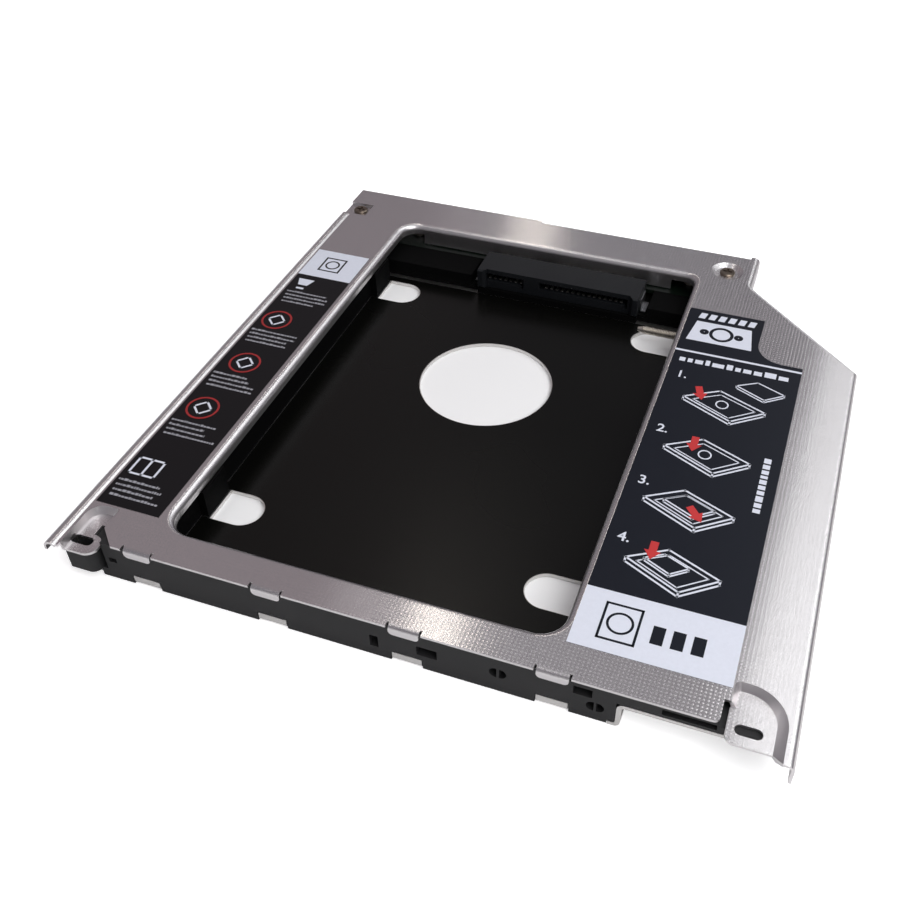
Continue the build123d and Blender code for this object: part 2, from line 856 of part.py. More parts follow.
# Front bar with a nose under the left ear and an arm inside the wing
with BuildPart() as front_bar:
    extrude(plan(frame_bottom, rail_left_outer, bar_front, frame_right, bar_rear),
            amount=frame_top - frame_bottom)
    extrude(plan(bar_lip_bottom, left_x, bar_front, step_x - tray_bend - fold_gap, bar_lip_rear),
            amount=frame_top - bar_lip_bottom)
    extrude(plan(wing_floor + piece_gap, frame_right - bar_corner, bar_front,
                 cover_front_right, bar_rear),
            amount=frame_top - wing_floor - piece_gap)
    extrude(plan(wing_floor + piece_gap, cover_front_right - bar_corner, ear_support_y,
                 right_ear_right - right_ear_slopes[1], bar_rear),
            amount=ear_under - wing_floor - 2 * piece_gap)
    extrude(
        plan(ear_under - piece_gap, left_x - weld, near_y,
             left_ear_right + cover_sheet + piece_gap, rear_y),
        amount=ear_press + cover_sheet,
        mode=Mode.SUBTRACT,
    )
    extrude(plan(nose_bottom, left_x, front_y - nose_reach, left_x + nose_width,
                 bar_front + weld),
            amount=ear_under - piece_gap - nose_bottom)
    extrude(
        plan(nose_bottom, left_x + nose_width, near_y,
             left_x + nose_width + nose_gap_width, bar_front + nose_gap_depth),
        amount=overall_height,
        mode=Mode.SUBTRACT,
    )
    nose_corner = front_bar.edges().filter_by(Axis.Z).filter_by(
        lambda edge: edge.center().Y < front_y and edge.center().X > left_x + nose_width / 2
    )
    fillet(nose_corner, nose_round_share * (nose_reach + cover_sheet + fold_gap))
    extrude(
        plan(0, left_x - tray_sheet, bar_lip_rear, rail_left_outer, rear_y),
        amount=overall_height,
        mode=Mode.SUBTRACT,
    )
    add(rim_space.part, mode=Mode.SUBTRACT)
    extrude(slot_outline(0, left_slot_x, piece_gap), amount=overall_height,
            mode=Mode.SUBTRACT)
    for tab_x in tab_places:
        extrude(
            plan(0, tab_x - tab_width / 2 - piece_gap, near_y,
                 tab_x + tab_width / 2 + piece_gap, bar_front + tray_sheet + piece_gap),
            amount=tray_tab_height + piece_gap,
            mode=Mode.SUBTRACT,
        )
    bar_face = Plane(origin=(0, bar_front, 0), x_dir=(1, 0, 0), z_dir=(0, -1, 0))
    with BuildSketch(bar_face):
        for pocket_start, pocket_place, pocket_size in (
            (left_x, end_pocket_place, end_pocket_size),
            (bay_left, upright_pocket_place, upright_pocket_size),
            (bay_left, flat_pocket_place, flat_pocket_size),
            (step_x, step_pocket_place, step_pocket_size),
            (step_x, wing_pocket_place, wing_pocket_size),
        ):
            with Locations((pocket_start + pocket_place[0], pocket_place[1])):
                Rectangle(*pocket_size)
        for boss_hole_place in boss_hole_places:
            with Locations((step_x + boss_hole_place[0], boss_hole_place[1])):
                SlotOverall(boss_hole_length, boss_hole_width)
                Rectangle(boss_rib, boss_hole_width, mode=Mode.SUBTRACT)
    extrude(amount=-pocket_depth, mode=Mode.SUBTRACT)

# Left rail with its two locating pads
with BuildPart() as left_rail:
    extrude(plan(frame_bottom, rail_left_outer, rail_front, rail_left_inner, rail_rear),
            amount=frame_top - frame_bottom)
    extrude(
        plan(ear_under - piece_gap, left_x, near_y,
             left_ear_right + cover_sheet + piece_gap, pocket_far_y + cover_sheet + piece_gap),
        amount=ear_press + cover_sheet,
        mode=Mode.SUBTRACT,
    )
    for window_y in (window_front_y, window_rear_y):
        extrude(
            plan(frame_bottom, rail_left_inner - pad_reach, window_y - pad_length / 2,
                 pad_face, window_y + pad_length / 2),
            amount=pad_height,
        )
    add(rim_space.part, mode=Mode.SUBTRACT)

# Right rail with seats for the two threaded inserts
with BuildPart() as right_rail:
    extrude(plan(frame_bottom, rail_right_inner, rail_front, frame_right, rail_rear),
            amount=frame_top - frame_bottom)
    add(rim_space.part, mode=Mode.SUBTRACT)
    for screw_y in (window_front_y, window_rear_y):
        with Locations(Plane(origin=(rail_right_inner, screw_y, clamp_z), z_dir=(1, 0, 0))):
            Cylinder(
                insert_radius + fold_gap,
                insert_length + fold_gap,
                align=(Align.CENTER, Align.CENTER, Align.MIN),
                mode=Mode.SUBTRACT,
            )
            Cylinder(
                clamp_radius + bore_gap,
                step_x - rail_right_inner,
                align=(Align.CENTER, Align.CENTER, Align.MIN),
                mode=Mode.SUBTRACT,
            )

# Rear carrier for the connector, the board and the cover screws
with BuildPart() as rear_carrier:
    extrude(plan(frame_bottom, rail_left_outer, carrier_y, frame_right, frame_rear),
            amount=ledge_height - frame_bottom)
    extrude(plan(frame_bottom, connector_left, connector_front - ledge_reach,
                 connector_right, carrier_y + ledge_reach),
            amount=ledge_height - frame_bottom)
    block_rear = board_front - piece_gap
    extrude(plan(frame_bottom, rail_left_outer, carrier_y,
                 connector_left - connector_side_gap, block_rear),
            amount=board_top - frame_bottom)
    extrude(plan(frame_bottom, connector_right + connector_side_gap, carrier_y,
                 frame_right, block_rear),
            amount=board_top - frame_bottom)
    for wall_left, wall_inner, wall_right in (
        (rail_left_outer, board_left - piece_gap, host_left - piece_gap),
        (frame_right, board_right + piece_gap, host_right + piece_gap),
    ):
        extrude(plan(frame_bottom, wall_left, frame_rear - rear_wall, wall_inner, frame_rear),
                amount=top_z - edge_bend - frame_bottom)
        extrude(plan(board_top + piece_gap, wall_left, frame_rear - rear_wall, wall_right,
                     frame_rear),
                amount=top_z - edge_bend - board_top - piece_gap)
    extrude(plan(frame_bottom, left_x, left_screw_y - post_half, left_x + post_width,
                 left_screw_y + post_half),
            amount=dimple_under - fold_gap - frame_bottom)
    extrude(
        plan(0, left_x - tray_sheet, carrier_y, rail_left_outer, frame_rear),
        amount=ledge_height + piece_gap,
        mode=Mode.SUBTRACT,
    )
    with Locations((right_screw_x, right_screw_y, frame_bottom)):
        Cylinder(
            dimple_radius - dimple_slope,
            dimple_under - fold_gap - frame_bottom,
            align=(Align.CENTER, Align.CENTER, Align.MIN),
        )
    for screw_x in (board_left + board_screw_inset, board_right - board_screw_inset):
        with Locations((screw_x, board_middle_y, frame_bottom)):
            Cylinder(
                board_screw_head,
                board_bottom - fold_gap - frame_bottom,
                align=(Align.CENTER, Align.CENTER, Align.MIN),
            )
        with Locations((screw_x, board_middle_y, board_bottom)):
            Hole(board_screw_shank + thread_gap, depth=board_screw_length - board_thickness)
    add(rim_space.part, mode=Mode.SUBTRACT)
    for screw_place in ((left_screw_x, left_screw_y), (right_screw_x, right_screw_y)):
        with Locations((*screw_place, screw_seat)):
            Hole(screw_shank_radius + thread_gap, depth=screw_length + piece_gap)
    for tab_x in tab_places:
        extrude(
            plan(0, tab_x - tab_width / 2 - piece_gap,
                 frame_rear - tray_sheet - piece_gap,
                 tab_x + tab_width / 2 + piece_gap, far_y),
            amount=tray_tab_height + piece_gap,
            mode=Mode.SUBTRACT,
        )

# Adapter board
with BuildPart() as adapter_board:
    extrude(plan(board_bottom, board_left, board_front, board_right, board_rear),
            amount=board_thickness)
    for screw_x in (board_left + board_screw_inset, board_right - board_screw_inset):
        with Locations((screw_x, board_middle_y, board_top)):
            Hole(board_screw_shank + piece_gap)

# Drive connector: one moulding with a short and a long slot
with BuildPart() as drive_connector:
    extrude(plan(connector_bottom, connector_left, connector_front, connector_right,
                 connector_rear),
            amount=connector_height)
    for guide_x, guide_side in ((connector_left, 1), (connector_right, -1)):
        with BuildSketch(Plane.XY.offset(connector_bottom)) as guide:
            with BuildLine():
                Polyline(
                    (guide_x, connector_front + guide_reach),
                    (guide_x, connector_front - guide_reach),
                    (guide_x + guide_side * (guide_width - guide_chamfer),
                     connector_front - guide_reach),
                    (guide_x + guide_side * guide_width,
                     connector_front - guide_reach + guide_chamfer),
                    (guide_x + guide_side * guide_width, connector_front + guide_reach),
                    close=True,
                )
            make_face()
        extrude(amount=connector_height)
    guide_tips = drive_connector.edges().group_by(Axis.Y)[0].filter_by(Axis.X)
    chamfer(guide_tips, guide_chamfer / 2)
    connector_face = Plane(
        origin=(connector_left, connector_front, connector_slot_height),
        x_dir=(1, 0, 0),
        z_dir=(0, -1, 0),
    )
    with BuildSketch(connector_face):
        for slot_start, slot_span in (
            (connector_cheek, signal_width),
            (connector_cheek + signal_width + key_width, power_width),
        ):
            with Locations((slot_start + slot_span / 2, 0)):
                Rectangle(slot_span, connector_slot_opening)
            with Locations((slot_start + slot_span - key_leg / 2, -key_leg)):
                Rectangle(key_leg, connector_slot_opening)
    extrude(amount=-connector_slot_depth, mode=Mode.SUBTRACT)
    for first_x, contact_count in contact_rows:
        with Locations(
            (first_x + contact_pitch * (contact_count - 1) / 2,
             (connector_front + connector_rear) / 2 + contact_setback,
             contact_z + contact_thickness / 2)
        ):
            with GridLocations(contact_pitch, 1, contact_count, 1):
                Box(
                    contact_width + 2 * contact_relief,
                    connector_depth,
                    contact_thickness + 2 * contact_relief,
                    mode=Mode.SUBTRACT,
                )

# Contacts of the drive connector
with BuildPart() as drive_contacts:
    for first_x, contact_count in contact_rows:
        with Locations(
            (first_x + contact_pitch * (contact_count - 1) / 2,
             (connector_front + contact_setback + board_front + contact_foot) / 2,
             contact_z + contact_thickness / 2)
        ):
            with GridLocations(contact_pitch, 1, contact_count, 1):
                Box(
                    contact_width,
                    board_front + contact_foot - connector_front - contact_setback,
                    contact_thickness,
                )

# Metal hold-downs at both ends of the connector
with BuildPart() as connector_clips:
    for clip_x, clip_side in ((connector_left, -1), (connector_right, 1)):
        clip_plane = Plane(
            origin=(clip_x, connector_front + clip_setback, connector_bottom),
            x_dir=(1, 0, 0),
            z_dir=(0, -1, 0),
        )
        with BuildSketch(clip_plane):
            with BuildLine():
                Polyline(
                    (clip_side * fold_gap, 0),
                    (clip_side * fold_gap, clip_height),
                    (clip_side * (fold_gap + clip_thickness), clip_height),
                    (clip_side * (fold_gap + clip_thickness), clip_thickness),
                    (clip_side * (fold_gap + clip_foot), clip_thickness),
                    (clip_side * (fold_gap + clip_foot), 0),
                    close=True,
                )
            make_face()
        extrude(amount=-clip_depth)

# Host plug at the rear edge, with its tongue
with BuildPart() as host_plug:
    extrude(plan(host_bottom, host_left, host_front, host_left + host_width, frame_rear),
            amount=host_height)
    host_face = Plane(
        origin=(host_left, frame_rear, host_bottom),
        x_dir=(1, 0, 0),
        z_dir=(0, -1, 0),
    )
    with BuildSketch(host_face):
        with Locations((host_width / 2, host_height / 2)):
            Rectangle(host_width - 2 * host_wall, host_height - 2 * host_wall)
        for tongue_start, tongue_width in (
            (host_side, host_signal_width),
            (host_side + host_signal_width + host_key, host_power_width),
        ):
            with Locations((tongue_start + tongue_width / 2, host_height / 2)):
                Rectangle(tongue_width, host_tongue, mode=Mode.SUBTRACT)
    extrude(amount=host_pocket_depth, mode=Mode.SUBTRACT)

# Contacts of the host plug
with BuildPart() as host_contacts:
    for row_start, row_pitch, row_count in (
        (host_left + host_side + host_signal_width / 2, contact_pitch, host_signal_contacts),
        (host_left + host_side + host_signal_width + host_key + host_power_width / 2,
         host_power_pitch, host_power_contacts),
    ):
        with Locations(
            (row_start, frame_rear - host_pocket_depth / 2,
             host_bottom + (host_height + host_tongue) / 2 + host_contact_thickness / 2)
        ):
            with GridLocations(row_pitch, 1, row_count, 1):
                Box(
                    host_contact_width,
                    host_pocket_depth - 2 * contact_setback,
                    host_contact_thickness,
                )

# Small parts on the board
with BuildPart() as board_components:
    with Locations((board_components_x, board_middle_y, board_top + chip_height / 2)):
        with GridLocations(chip_pitch, 1, chip_count, 1):
            Box(chip_length, chip_width, chip_height)

# Screws that hold the board
with BuildPart() as board_screws:
    for screw_x in (board_left + board_screw_inset, board_right - board_screw_inset):
        with Locations((screw_x, board_middle_y, board_top)):
            Cylinder(
                board_screw_head,
                board_screw_head_height,
                align=(Align.CENTER, Align.CENTER, Align.MIN),
            )
            Cylinder(
                board_screw_shank,
                board_screw_length,
                align=(Align.CENTER, Align.CENTER, Align.MAX),
            )


def cover_screw(place_x, place_y):
    """Half outline of a flat cross-recess screw, standing at its place in the cover."""
    screw_plane = Plane(
        origin=(place_x, place_y, screw_seat),
        x_dir=(1, 0, 0),
        z_dir=(0, -1, 0),
    )
    with BuildSketch(screw_plane) as half:
        with BuildLine():
            Polyline(
                (0, -screw_length),
                (screw_shank_radius - screw_crown, -screw_length),
                (screw_shank_radius, screw_crown - screw_length),
                (screw_shank_radius, 0),
                (screw_head_radius, 0),
                (screw_head_radius, screw_head_height - screw_crown),
                (screw_head_radius - screw_crown, screw_head_height),
                (0, screw_head_height),
                close=True,
            )
        make_face()
    return half.sketch


def cross_recess(place_x, place_y):
    """The cross cut into a screw's head."""
    with BuildSketch(Plane.XY.offset(screw_seat + screw_head_height)) as cross:
        with Locations((place_x, place_y)):
            Rectangle(2 * screw_recess_reach, screw_recess_width)
            Rectangle(screw_recess_width, 2 * screw_recess_reach)
    return cross.sketch


# Cover screws
with BuildPart() as cover_screw_left:
    revolve(cover_screw(left_screw_x, left_screw_y),
            axis=Axis((left_screw_x, left_screw_y, 0), (0, 0, 1)))
    extrude(cross_recess(left_screw_x, left_screw_y), amount=-screw_recess_depth,
            mode=Mode.SUBTRACT)

with BuildPart() as cover_screw_right:
    revolve(cover_screw(right_screw_x, right_screw_y),
            axis=Axis((right_screw_x, right_screw_y, 0), (0, 0, 1)))
    extrude(cross_recess(right_screw_x, right_screw_y), amount=-screw_recess_depth,
            mode=Mode.SUBTRACT)


def clamp_screw(tip_x, place_y):
    """Half outline of a clamp screw: pointed towards the bay, socket at the other end."""
    screw_plane = Plane(origin=(tip_x, place_y, clamp_z), x_dir=(1, 0, 0), z_dir=(0, -1, 0))
    with BuildSketch(screw_plane) as half:
        with BuildLine():
            Polyline(
                (0, 0),
                (0, clamp_tip_radius),
                (clamp_tip, clamp_radius),
                (clamp_length - clamp_crown, clamp_radius),
                (clamp_length, clamp_radius - clamp_crown),
                (clamp_length, 0),
                close=True,
            )
        make_face()
    return half.sketch


def clamp_socket(tip_x, place_y):
    """The hexagonal socket at the far end of a clamp screw."""
    socket_plane = Plane(origin=(tip_x + clamp_length, place_y, clamp_z), z_dir=(1, 0, 0))
    with BuildSketch(socket_plane) as socket:
        RegularPolygon(clamp_socket_radius, clamp_socket_sides)
    return socket.sketch


# Clamp screws that press on the side of the drive
with BuildPart() as set_screw_rear:
    revolve(clamp_screw(clamp_rear_tip, window_rear_y),
            axis=Axis((clamp_rear_tip, window_rear_y, clamp_z), (1, 0, 0)))
    extrude(clamp_socket(clamp_rear_tip, window_rear_y), amount=-clamp_socket_depth,
            mode=Mode.SUBTRACT)

with BuildPart() as set_screw_front:
    revolve(clamp_screw(clamp_front_tip, window_front_y),
            axis=Axis((clamp_front_tip, window_front_y, clamp_z), (1, 0, 0)))
    extrude(clamp_socket(clamp_front_tip, window_front_y), amount=-clamp_socket_depth,
            mode=Mode.SUBTRACT)


def insert_ring(place_y):
    """The end face of a threaded insert."""
    ring_plane = Plane(origin=(rail_right_inner, place_y, clamp_z), z_dir=(1, 0, 0))
    with BuildSketch(ring_plane) as ring:
        Circle(insert_radius)
        Circle(clamp_radius + thread_gap, mode=Mode.SUBTRACT)
    return ring.sketch


# Threaded inserts of the clamp screws
with BuildPart() as insert_rear:
    extrude(insert_ring(window_rear_y), amount=insert_length)

with BuildPart() as insert_front:
    extrude(insert_ring(window_front_y), amount=insert_length)

# Labels on the cover
with BuildPart() as left_label:
    extrude(
        plan(top_z, left_x + left_label_margin, front_y + left_label_from_front,
             left_x + left_label_margin + left_label_width,
             front_y + left_label_from_front + left_label_length),
        amount=label_thickness,
    )

with BuildPart() as right_label:
    label_left = bay_right + rim_bend
    label_front = front_y + right_label_from_front
    label_rear = label_front + right_label_length
    with BuildSketch(Plane.XY.offset(top_z)) as label_outline:
        with BuildLine():
            Polyline(
                (label_left, label_front),
                (label_left + right_label_width, label_front),
                (label_left + right_label_width, label_rear),
                (label_left + right_label_tab_width, label_rear),
                (label_left + right_label_tab_width, label_rear + right_label_tab_length),
                (label_left, label_rear + right_label_tab_length),
                close=True,
            )
        make_face()
        inner_corner = label_outline.vertices().sort_by_distance(
            (label_left + right_label_tab_width, label_rear, 0)
        )[0]
        fillet(inner_corner, right_label_curve)
    extrude(amount=label_thickness)

# Export, one file for each piece
for name, piece in (
    ("top_cover", top_cover),
    ("bottom_tray", bottom_tray),
    ("floor_film", floor_film),
    ("front_bar", front_bar),
    ("left_rail", left_rail),
    ("right_rail", right_rail),
    ("rear_carrier", rear_carrier),
    ("adapter_board", adapter_board),
    ("drive_connector", drive_connector),
    ("drive_contacts", drive_contacts),
    ("connector_clips", connector_clips),
    ("host_plug", host_plug),
    ("host_contacts", host_contacts),
    ("board_components", board_components),
    ("board_screws", board_screws),
    ("cover_screw_left", cover_screw_left),
    ("cover_screw_right", cover_screw_right),
    ("set_screw_rear", set_screw_rear),
    ("set_screw_front", set_screw_front),
    ("insert_rear", insert_rear),
    ("insert_front", insert_front),
    ("left_label", left_label),
    ("right_label", right_label),
):
    piece.part.label = name
    export_step(piece.part, f"parts/{name}.step")
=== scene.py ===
import math
import random
from functools import partial
from typing import NamedTuple

import bmesh
import bpy
from mathutils import Matrix, Vector


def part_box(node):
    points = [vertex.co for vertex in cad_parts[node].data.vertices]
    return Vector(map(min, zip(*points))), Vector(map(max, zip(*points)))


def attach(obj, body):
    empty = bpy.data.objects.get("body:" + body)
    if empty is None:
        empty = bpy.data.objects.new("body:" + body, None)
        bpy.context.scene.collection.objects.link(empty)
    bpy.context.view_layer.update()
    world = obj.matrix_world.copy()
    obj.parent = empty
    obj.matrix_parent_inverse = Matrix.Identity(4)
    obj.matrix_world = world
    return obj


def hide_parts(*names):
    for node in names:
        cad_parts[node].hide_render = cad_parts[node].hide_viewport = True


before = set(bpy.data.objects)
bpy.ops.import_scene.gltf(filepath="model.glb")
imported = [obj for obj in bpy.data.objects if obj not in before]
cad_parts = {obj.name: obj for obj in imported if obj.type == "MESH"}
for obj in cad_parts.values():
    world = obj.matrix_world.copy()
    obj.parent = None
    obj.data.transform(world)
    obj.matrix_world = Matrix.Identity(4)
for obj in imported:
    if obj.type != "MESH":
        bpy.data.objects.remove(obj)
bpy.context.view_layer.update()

bl_info = {
    "name": "Laptop Drive Caddy",
    "version": (1, 0, 0),
    "blender": (4, 5, 0),
    "location": "View3D > Sidebar > Drive Caddy",
    "description": "Finishes, prints and screw threads of a slim laptop drive caddy",
    "category": "Object",
}

MM = 0.001

# Width and height of the photograph, in pixels
PHOTO_SIDE = 906

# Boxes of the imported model's nodes, each as its low and its high corner
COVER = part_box("top_cover")
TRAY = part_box("bottom_tray")
LEFT_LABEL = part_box("left_label")
RIGHT_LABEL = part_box("right_label")
REAR_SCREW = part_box("set_screw_rear")
FRONT_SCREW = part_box("set_screw_front")

# The cover's upper face, its front edge between the ears, and the bay's opening in it
COVER_TOP = LEFT_LABEL[0].z
COVER_FRONT = COVER[0].y + 3.9 * MM
BAY_LEFT = COVER[0].x + 17.9 * MM
BAY_FRONT = COVER_FRONT + 7 * MM
BAY_WIDTH = 71.1 * MM
BAY_DEPTH = 108.2 * MM

# The cover's brushing and its broader streaks: waves per metre along X, Y and Z
BRUSHING = (5000, 32000, 32000)
STREAKS = (14, 900, 900)

# Steepness of the brushing across its grooves, and roughness of level and of upright faces
GROOVE_SLOPE = 2.8
LEVEL_ROUGHNESS = 0.09
UPRIGHT_ROUGHNESS = 0.34

# The cover's pressed dots: radius as a share of their pitch, and height
DOT_SHARE = 0.32
DOT_HEIGHT = 0.005 * MM

# How strongly the dots show, with their painted highlight and the painted shade between them,
# from the cover's left side (0) to its right side (1)
DOT_SPREAD = ((0.3, 0.1), (0.85, 1.0), (0.95, 1.0), (0.99, 0.25))
DOT_SPREAD_RISE = 9.0

# Thickness of one layer of ink, and how far the labels' film lies under their top
INK = 0.02 * MM
PRINT_DEPTH = 3 * INK

# Widths of printed lines, in millimetres
BOLD_LINE = 0.42
PLATE_LINE = 0.36
SLAB_LINE = 0.3
HOLE_LINE = 0.28
FINE_LINE = 0.24

# The slanted plate of each drawing, across and along: its corners, its thickness and its hole
PLATE = ((-9.0, 1.2), (-1.6, 5.6), (9.0, 1.0), (2.2, -4.2))
PLATE_DEPTH = 1.1
PLATE_SCALE = 0.88
PLATE_INSIDE = 0.76
HOLE_MIDDLE = (-0.4, 0.9)
HOLE_RADIUS = 1.3
SLAB_DEPTH = 1.4

# The red arrows: length, width and length of the head, and half the stem's width
ARROW_LENGTH = 4.2
ARROW_WIDTH = 2.9
ARROW_HEAD = 0.48 * ARROW_LENGTH
ARROW_STEM = 0.24 * ARROW_WIDTH

# A ring of print: steps of its spin, and how far its profile stands in front of its middle
RING_STEPS = 40
RING_LEAD = 0.1 * MM

# The left label's rings, and the start of the first row in each of its blocks of small bars
LEFT_RINGS = ((-10.7, 68.4), (-9.7, 52.7), (-10.3, 37.2))
LEFT_BLOCKS = ((-13.9, 79.2), (-14.2, 63.6), (-14.2, 47.8), (-14.2, 32.2), (-14.2, 14.6))

# The drawings' numbers: height and left edge in millimetres, and how much bolder they are drawn
NUMERAL_HEIGHT = 3.1
NUMERAL_ACROSS = 74.2
NUMERAL_WEIGHT = 0.04 * MM

# How much darker than their settings the inner mouldings are, as painted shade inside the bay,
# and how much darker the left label's rings are
INNER_PAINTED_SHADE = 0.12
RING_SHADE = 0.6

# The clamp screws: sides, tapered tip, blunt point, end chamfer and socket in the far end
SCREW_SIDES = 32
SCREW_TIP = 1.3 * MM
SCREW_POINT = 0.45 * MM
SCREW_CHAMFER = 0.1 * MM
SOCKET_RADIUS = 0.5 * MM
SOCKET_DEPTH = 0.9 * MM

# The thread: where it starts on the tip, as a share of its length, steps in one turn, how far
# it sinks into the core, and its width in pitches
THREAD_START = 0.8
THREAD_STEPS = 20
THREAD_SINK = 0.02 * MM
THREAD_WIDTH = 0.9

# Closer than this, two vertices of one mesh are the same
MERGE = 0.001 * MM

# The floor: half its side, its gap under the tray, and the light that it adds around the
# caddy for the camera alone, which grows to white between two distances from the middle
FLOOR_REACH = 4.0
FLOOR_GAP = 0.01 * MM
FLOOR_GLOW = (0.58, 0.58, 0.58)
GLOW_START = 0.2
GLOW_RUN = 0.6

BLACK = (0.0, 0.0, 0.0)
WHITE = (1.0, 1.0, 1.0)


class Drawing(NamedTuple):
    """One numbered drawing of the right label; places are across and along, in millimetres."""

    number_along: float
    plate: tuple
    hole: bool
    slab: tuple
    slab_scale: float
    arrow_tip: tuple
    arrow_turn: float


DRAWINGS = (
    Drawing(77.4, (85.0, 70.6), True, (91.0, 77.6), 0.52, (80.6, 71.6), -72),
    Drawing(59.8, (84.6, 55.2), True, (), 0.0, (81.8, 56.2), -90),
    Drawing(44.8, (84.2, 40.6), False, (84.2, 41.6), 0.5, (87.0, 38.6), -50),
    Drawing(30.0, (84.6, 25.6), False, (83.4, 27.0), 0.42, (80.6, 27.4), -90),
)


def from_display(red, green, blue):
    """A colour picked on screen, 0 to 255, as the linear colour that a material takes."""
    linear = []
    for channel in (red, green, blue):
        share = channel / 255
        linear.append(share / 12.92 if share <= 0.04045 else ((share + 0.055) / 1.055) ** 2.4)
    return tuple(linear)


def colour_setting(name, description, shown):
    """A colour that a user may change, given as it looks on screen."""
    return bpy.props.FloatVectorProperty(
        name=name,
        description=description,
        subtype="COLOR",
        size=3,
        min=0.0,
        max=1.0,
        default=from_display(*shown),
    )


def length_setting(name, description, millimetres):
    """A length that a user may change."""
    return bpy.props.FloatProperty(
        name=name,
        description=description,
        default=millimetres * MM,
        min=0.0,
        precision=5,
        unit="LENGTH",
    )


class CaddyFinish(bpy.types.PropertyGroup):
    """Colours and surface of the caddy's materials"""

    cover_metal: colour_setting("Cover metal", "Brushed sheet of the cover", (224, 221, 222))
    tray_metal: colour_setting("Tray metal", "Bare sheet of the tray", (222, 220, 218))
    film_black: colour_setting("Floor film", "Glossy film on the floor", (7, 7, 6))
    frame_black: colour_setting("Frame", "Moulded frame", (38, 38, 39))
    connector_black: colour_setting("Connector", "Connector mouldings", (21, 23, 26))
    clip_tin: colour_setting("Clips", "Tin of the connector's clips", (150, 151, 154))
    chip_grey: colour_setting("Components", "Small parts on the board", (70, 66, 60))
    contact_gold: colour_setting("Contacts", "Plated contacts", (224, 222, 216))
    board_green: colour_setting("Board", "Solder resist of the board", (9, 18, 12))
    screw_steel: colour_setting("Screws", "Steel of the screws", (214, 208, 198))
    aged_steel: colour_setting("Cover screws", "Aged steel", (134, 122, 110))
    insert_brass: colour_setting("Inserts", "Threaded inserts", (203, 170, 105))
    left_black: colour_setting("Left label", "Ground of the left label", (13, 11, 15))
    right_black: colour_setting("Right label", "Ground of the right label", (14, 18, 29))
    ink_white: colour_setting("White ink", "Light print on the labels", (222, 226, 238))
    ink_grey: colour_setting("Grey ink", "Small bars on the left label", (164, 164, 172))
    ink_red: colour_setting("Red ink", "Red print on the labels", (196, 42, 44))
    dot_pitch: length_setting("Dot pitch", "Distance between the cover's pressed dots", 0.68)
    thread_pitch: length_setting("Thread pitch", "Pitch of the clamp screws' thread", 0.35)
    thread_depth: length_setting("Thread depth", "Depth of the clamp screws' thread", 0.13)


class CaddyStage(bpy.types.PropertyGroup):
    """Camera, floor and lamps"""

    camera_place: bpy.props.FloatVectorProperty(
        name="Camera place",
        description="Where the camera stands",
        subtype="XYZ",
        unit="LENGTH",
        size=3,
        default=(49.40 * MM, -153.18 * MM, 139.54 * MM),
    )
    azimuth: bpy.props.FloatProperty(
        name="Azimuth",
        description="Turn of the camera about the vertical",
        subtype="ANGLE",
        default=math.radians(20.31),
    )
    elevation: bpy.props.FloatProperty(
        name="Elevation",
        description="Height of the camera above the horizon",
        subtype="ANGLE",
        default=math.radians(42.72),
    )
    roll: bpy.props.FloatProperty(
        name="Roll",
        description="Turn of the camera about its own line of sight",
        subtype="ANGLE",
        default=math.radians(-0.65),
    )
    focal_pixels: bpy.props.FloatProperty(
        name="Focal length in pixels",
        description="Focal length for a picture as wide as the photograph",
        subtype="PIXEL",
        default=1046.67,
    )
    middle_x: bpy.props.FloatProperty(
        name="Middle across",
        description="Pixel column of the line of sight",
        subtype="PIXEL",
        default=479.77,
    )
    middle_y: bpy.props.FloatProperty(
        name="Middle down",
        description="Pixel row of the line of sight",
        subtype="PIXEL",
        default=462.28,
    )
    floor_white: colour_setting("Floor", "Colour of the floor", (247, 247, 247))
    room_grey: colour_setting("Room", "Colour of the room around", (132, 129, 134))


def finish():
    """The settings of the materials."""
    return bpy.context.scene.caddy_finish


def stage_settings():
    """The settings of the camera, the floor and the room."""
    return bpy.context.scene.caddy_stage


class Signal:
    """A socket with arithmetic: each operator adds the Math node that works it out."""

    def __init__(self, shader, socket):
        self.shader = shader
        self.socket = socket

    def with_math(self, operation, *others, first=None):
        start = self if first is None else first
        return self.shader.node(
            "ShaderNodeMath", {"operation": operation}, (start, *others)
        ).out(0)

    def with_vectors(self, operation, *others):
        return self.shader.node(
            "ShaderNodeVectorMath", {"operation": operation}, (self, *others)
        ).out(0)

    def __add__(self, other):
        return self.with_math("ADD", other)

    __radd__ = __add__

    def __sub__(self, other):
        return self.with_math("SUBTRACT", other)

    def __rsub__(self, other):
        return self.with_math("SUBTRACT", self, first=other)

    def __mul__(self, other):
        return self.with_math("MULTIPLY", other)

    __rmul__ = __mul__

    def __truediv__(self, other):
        return self.with_math("DIVIDE", other)

    def __pow__(self, other):
        return self.with_math("POWER", other)

    def __lt__(self, other):
        return self.with_math("LESS_THAN", other)

    def __abs__(self):
        return self.with_math("ABSOLUTE")


class Made:
    """A node that has been made, with its outputs as signals."""

    def __init__(self, shader, node):
        self.shader = shader
        self.node = node

    def out(self, socket):
        return Signal(self.shader, self.node.outputs[socket])


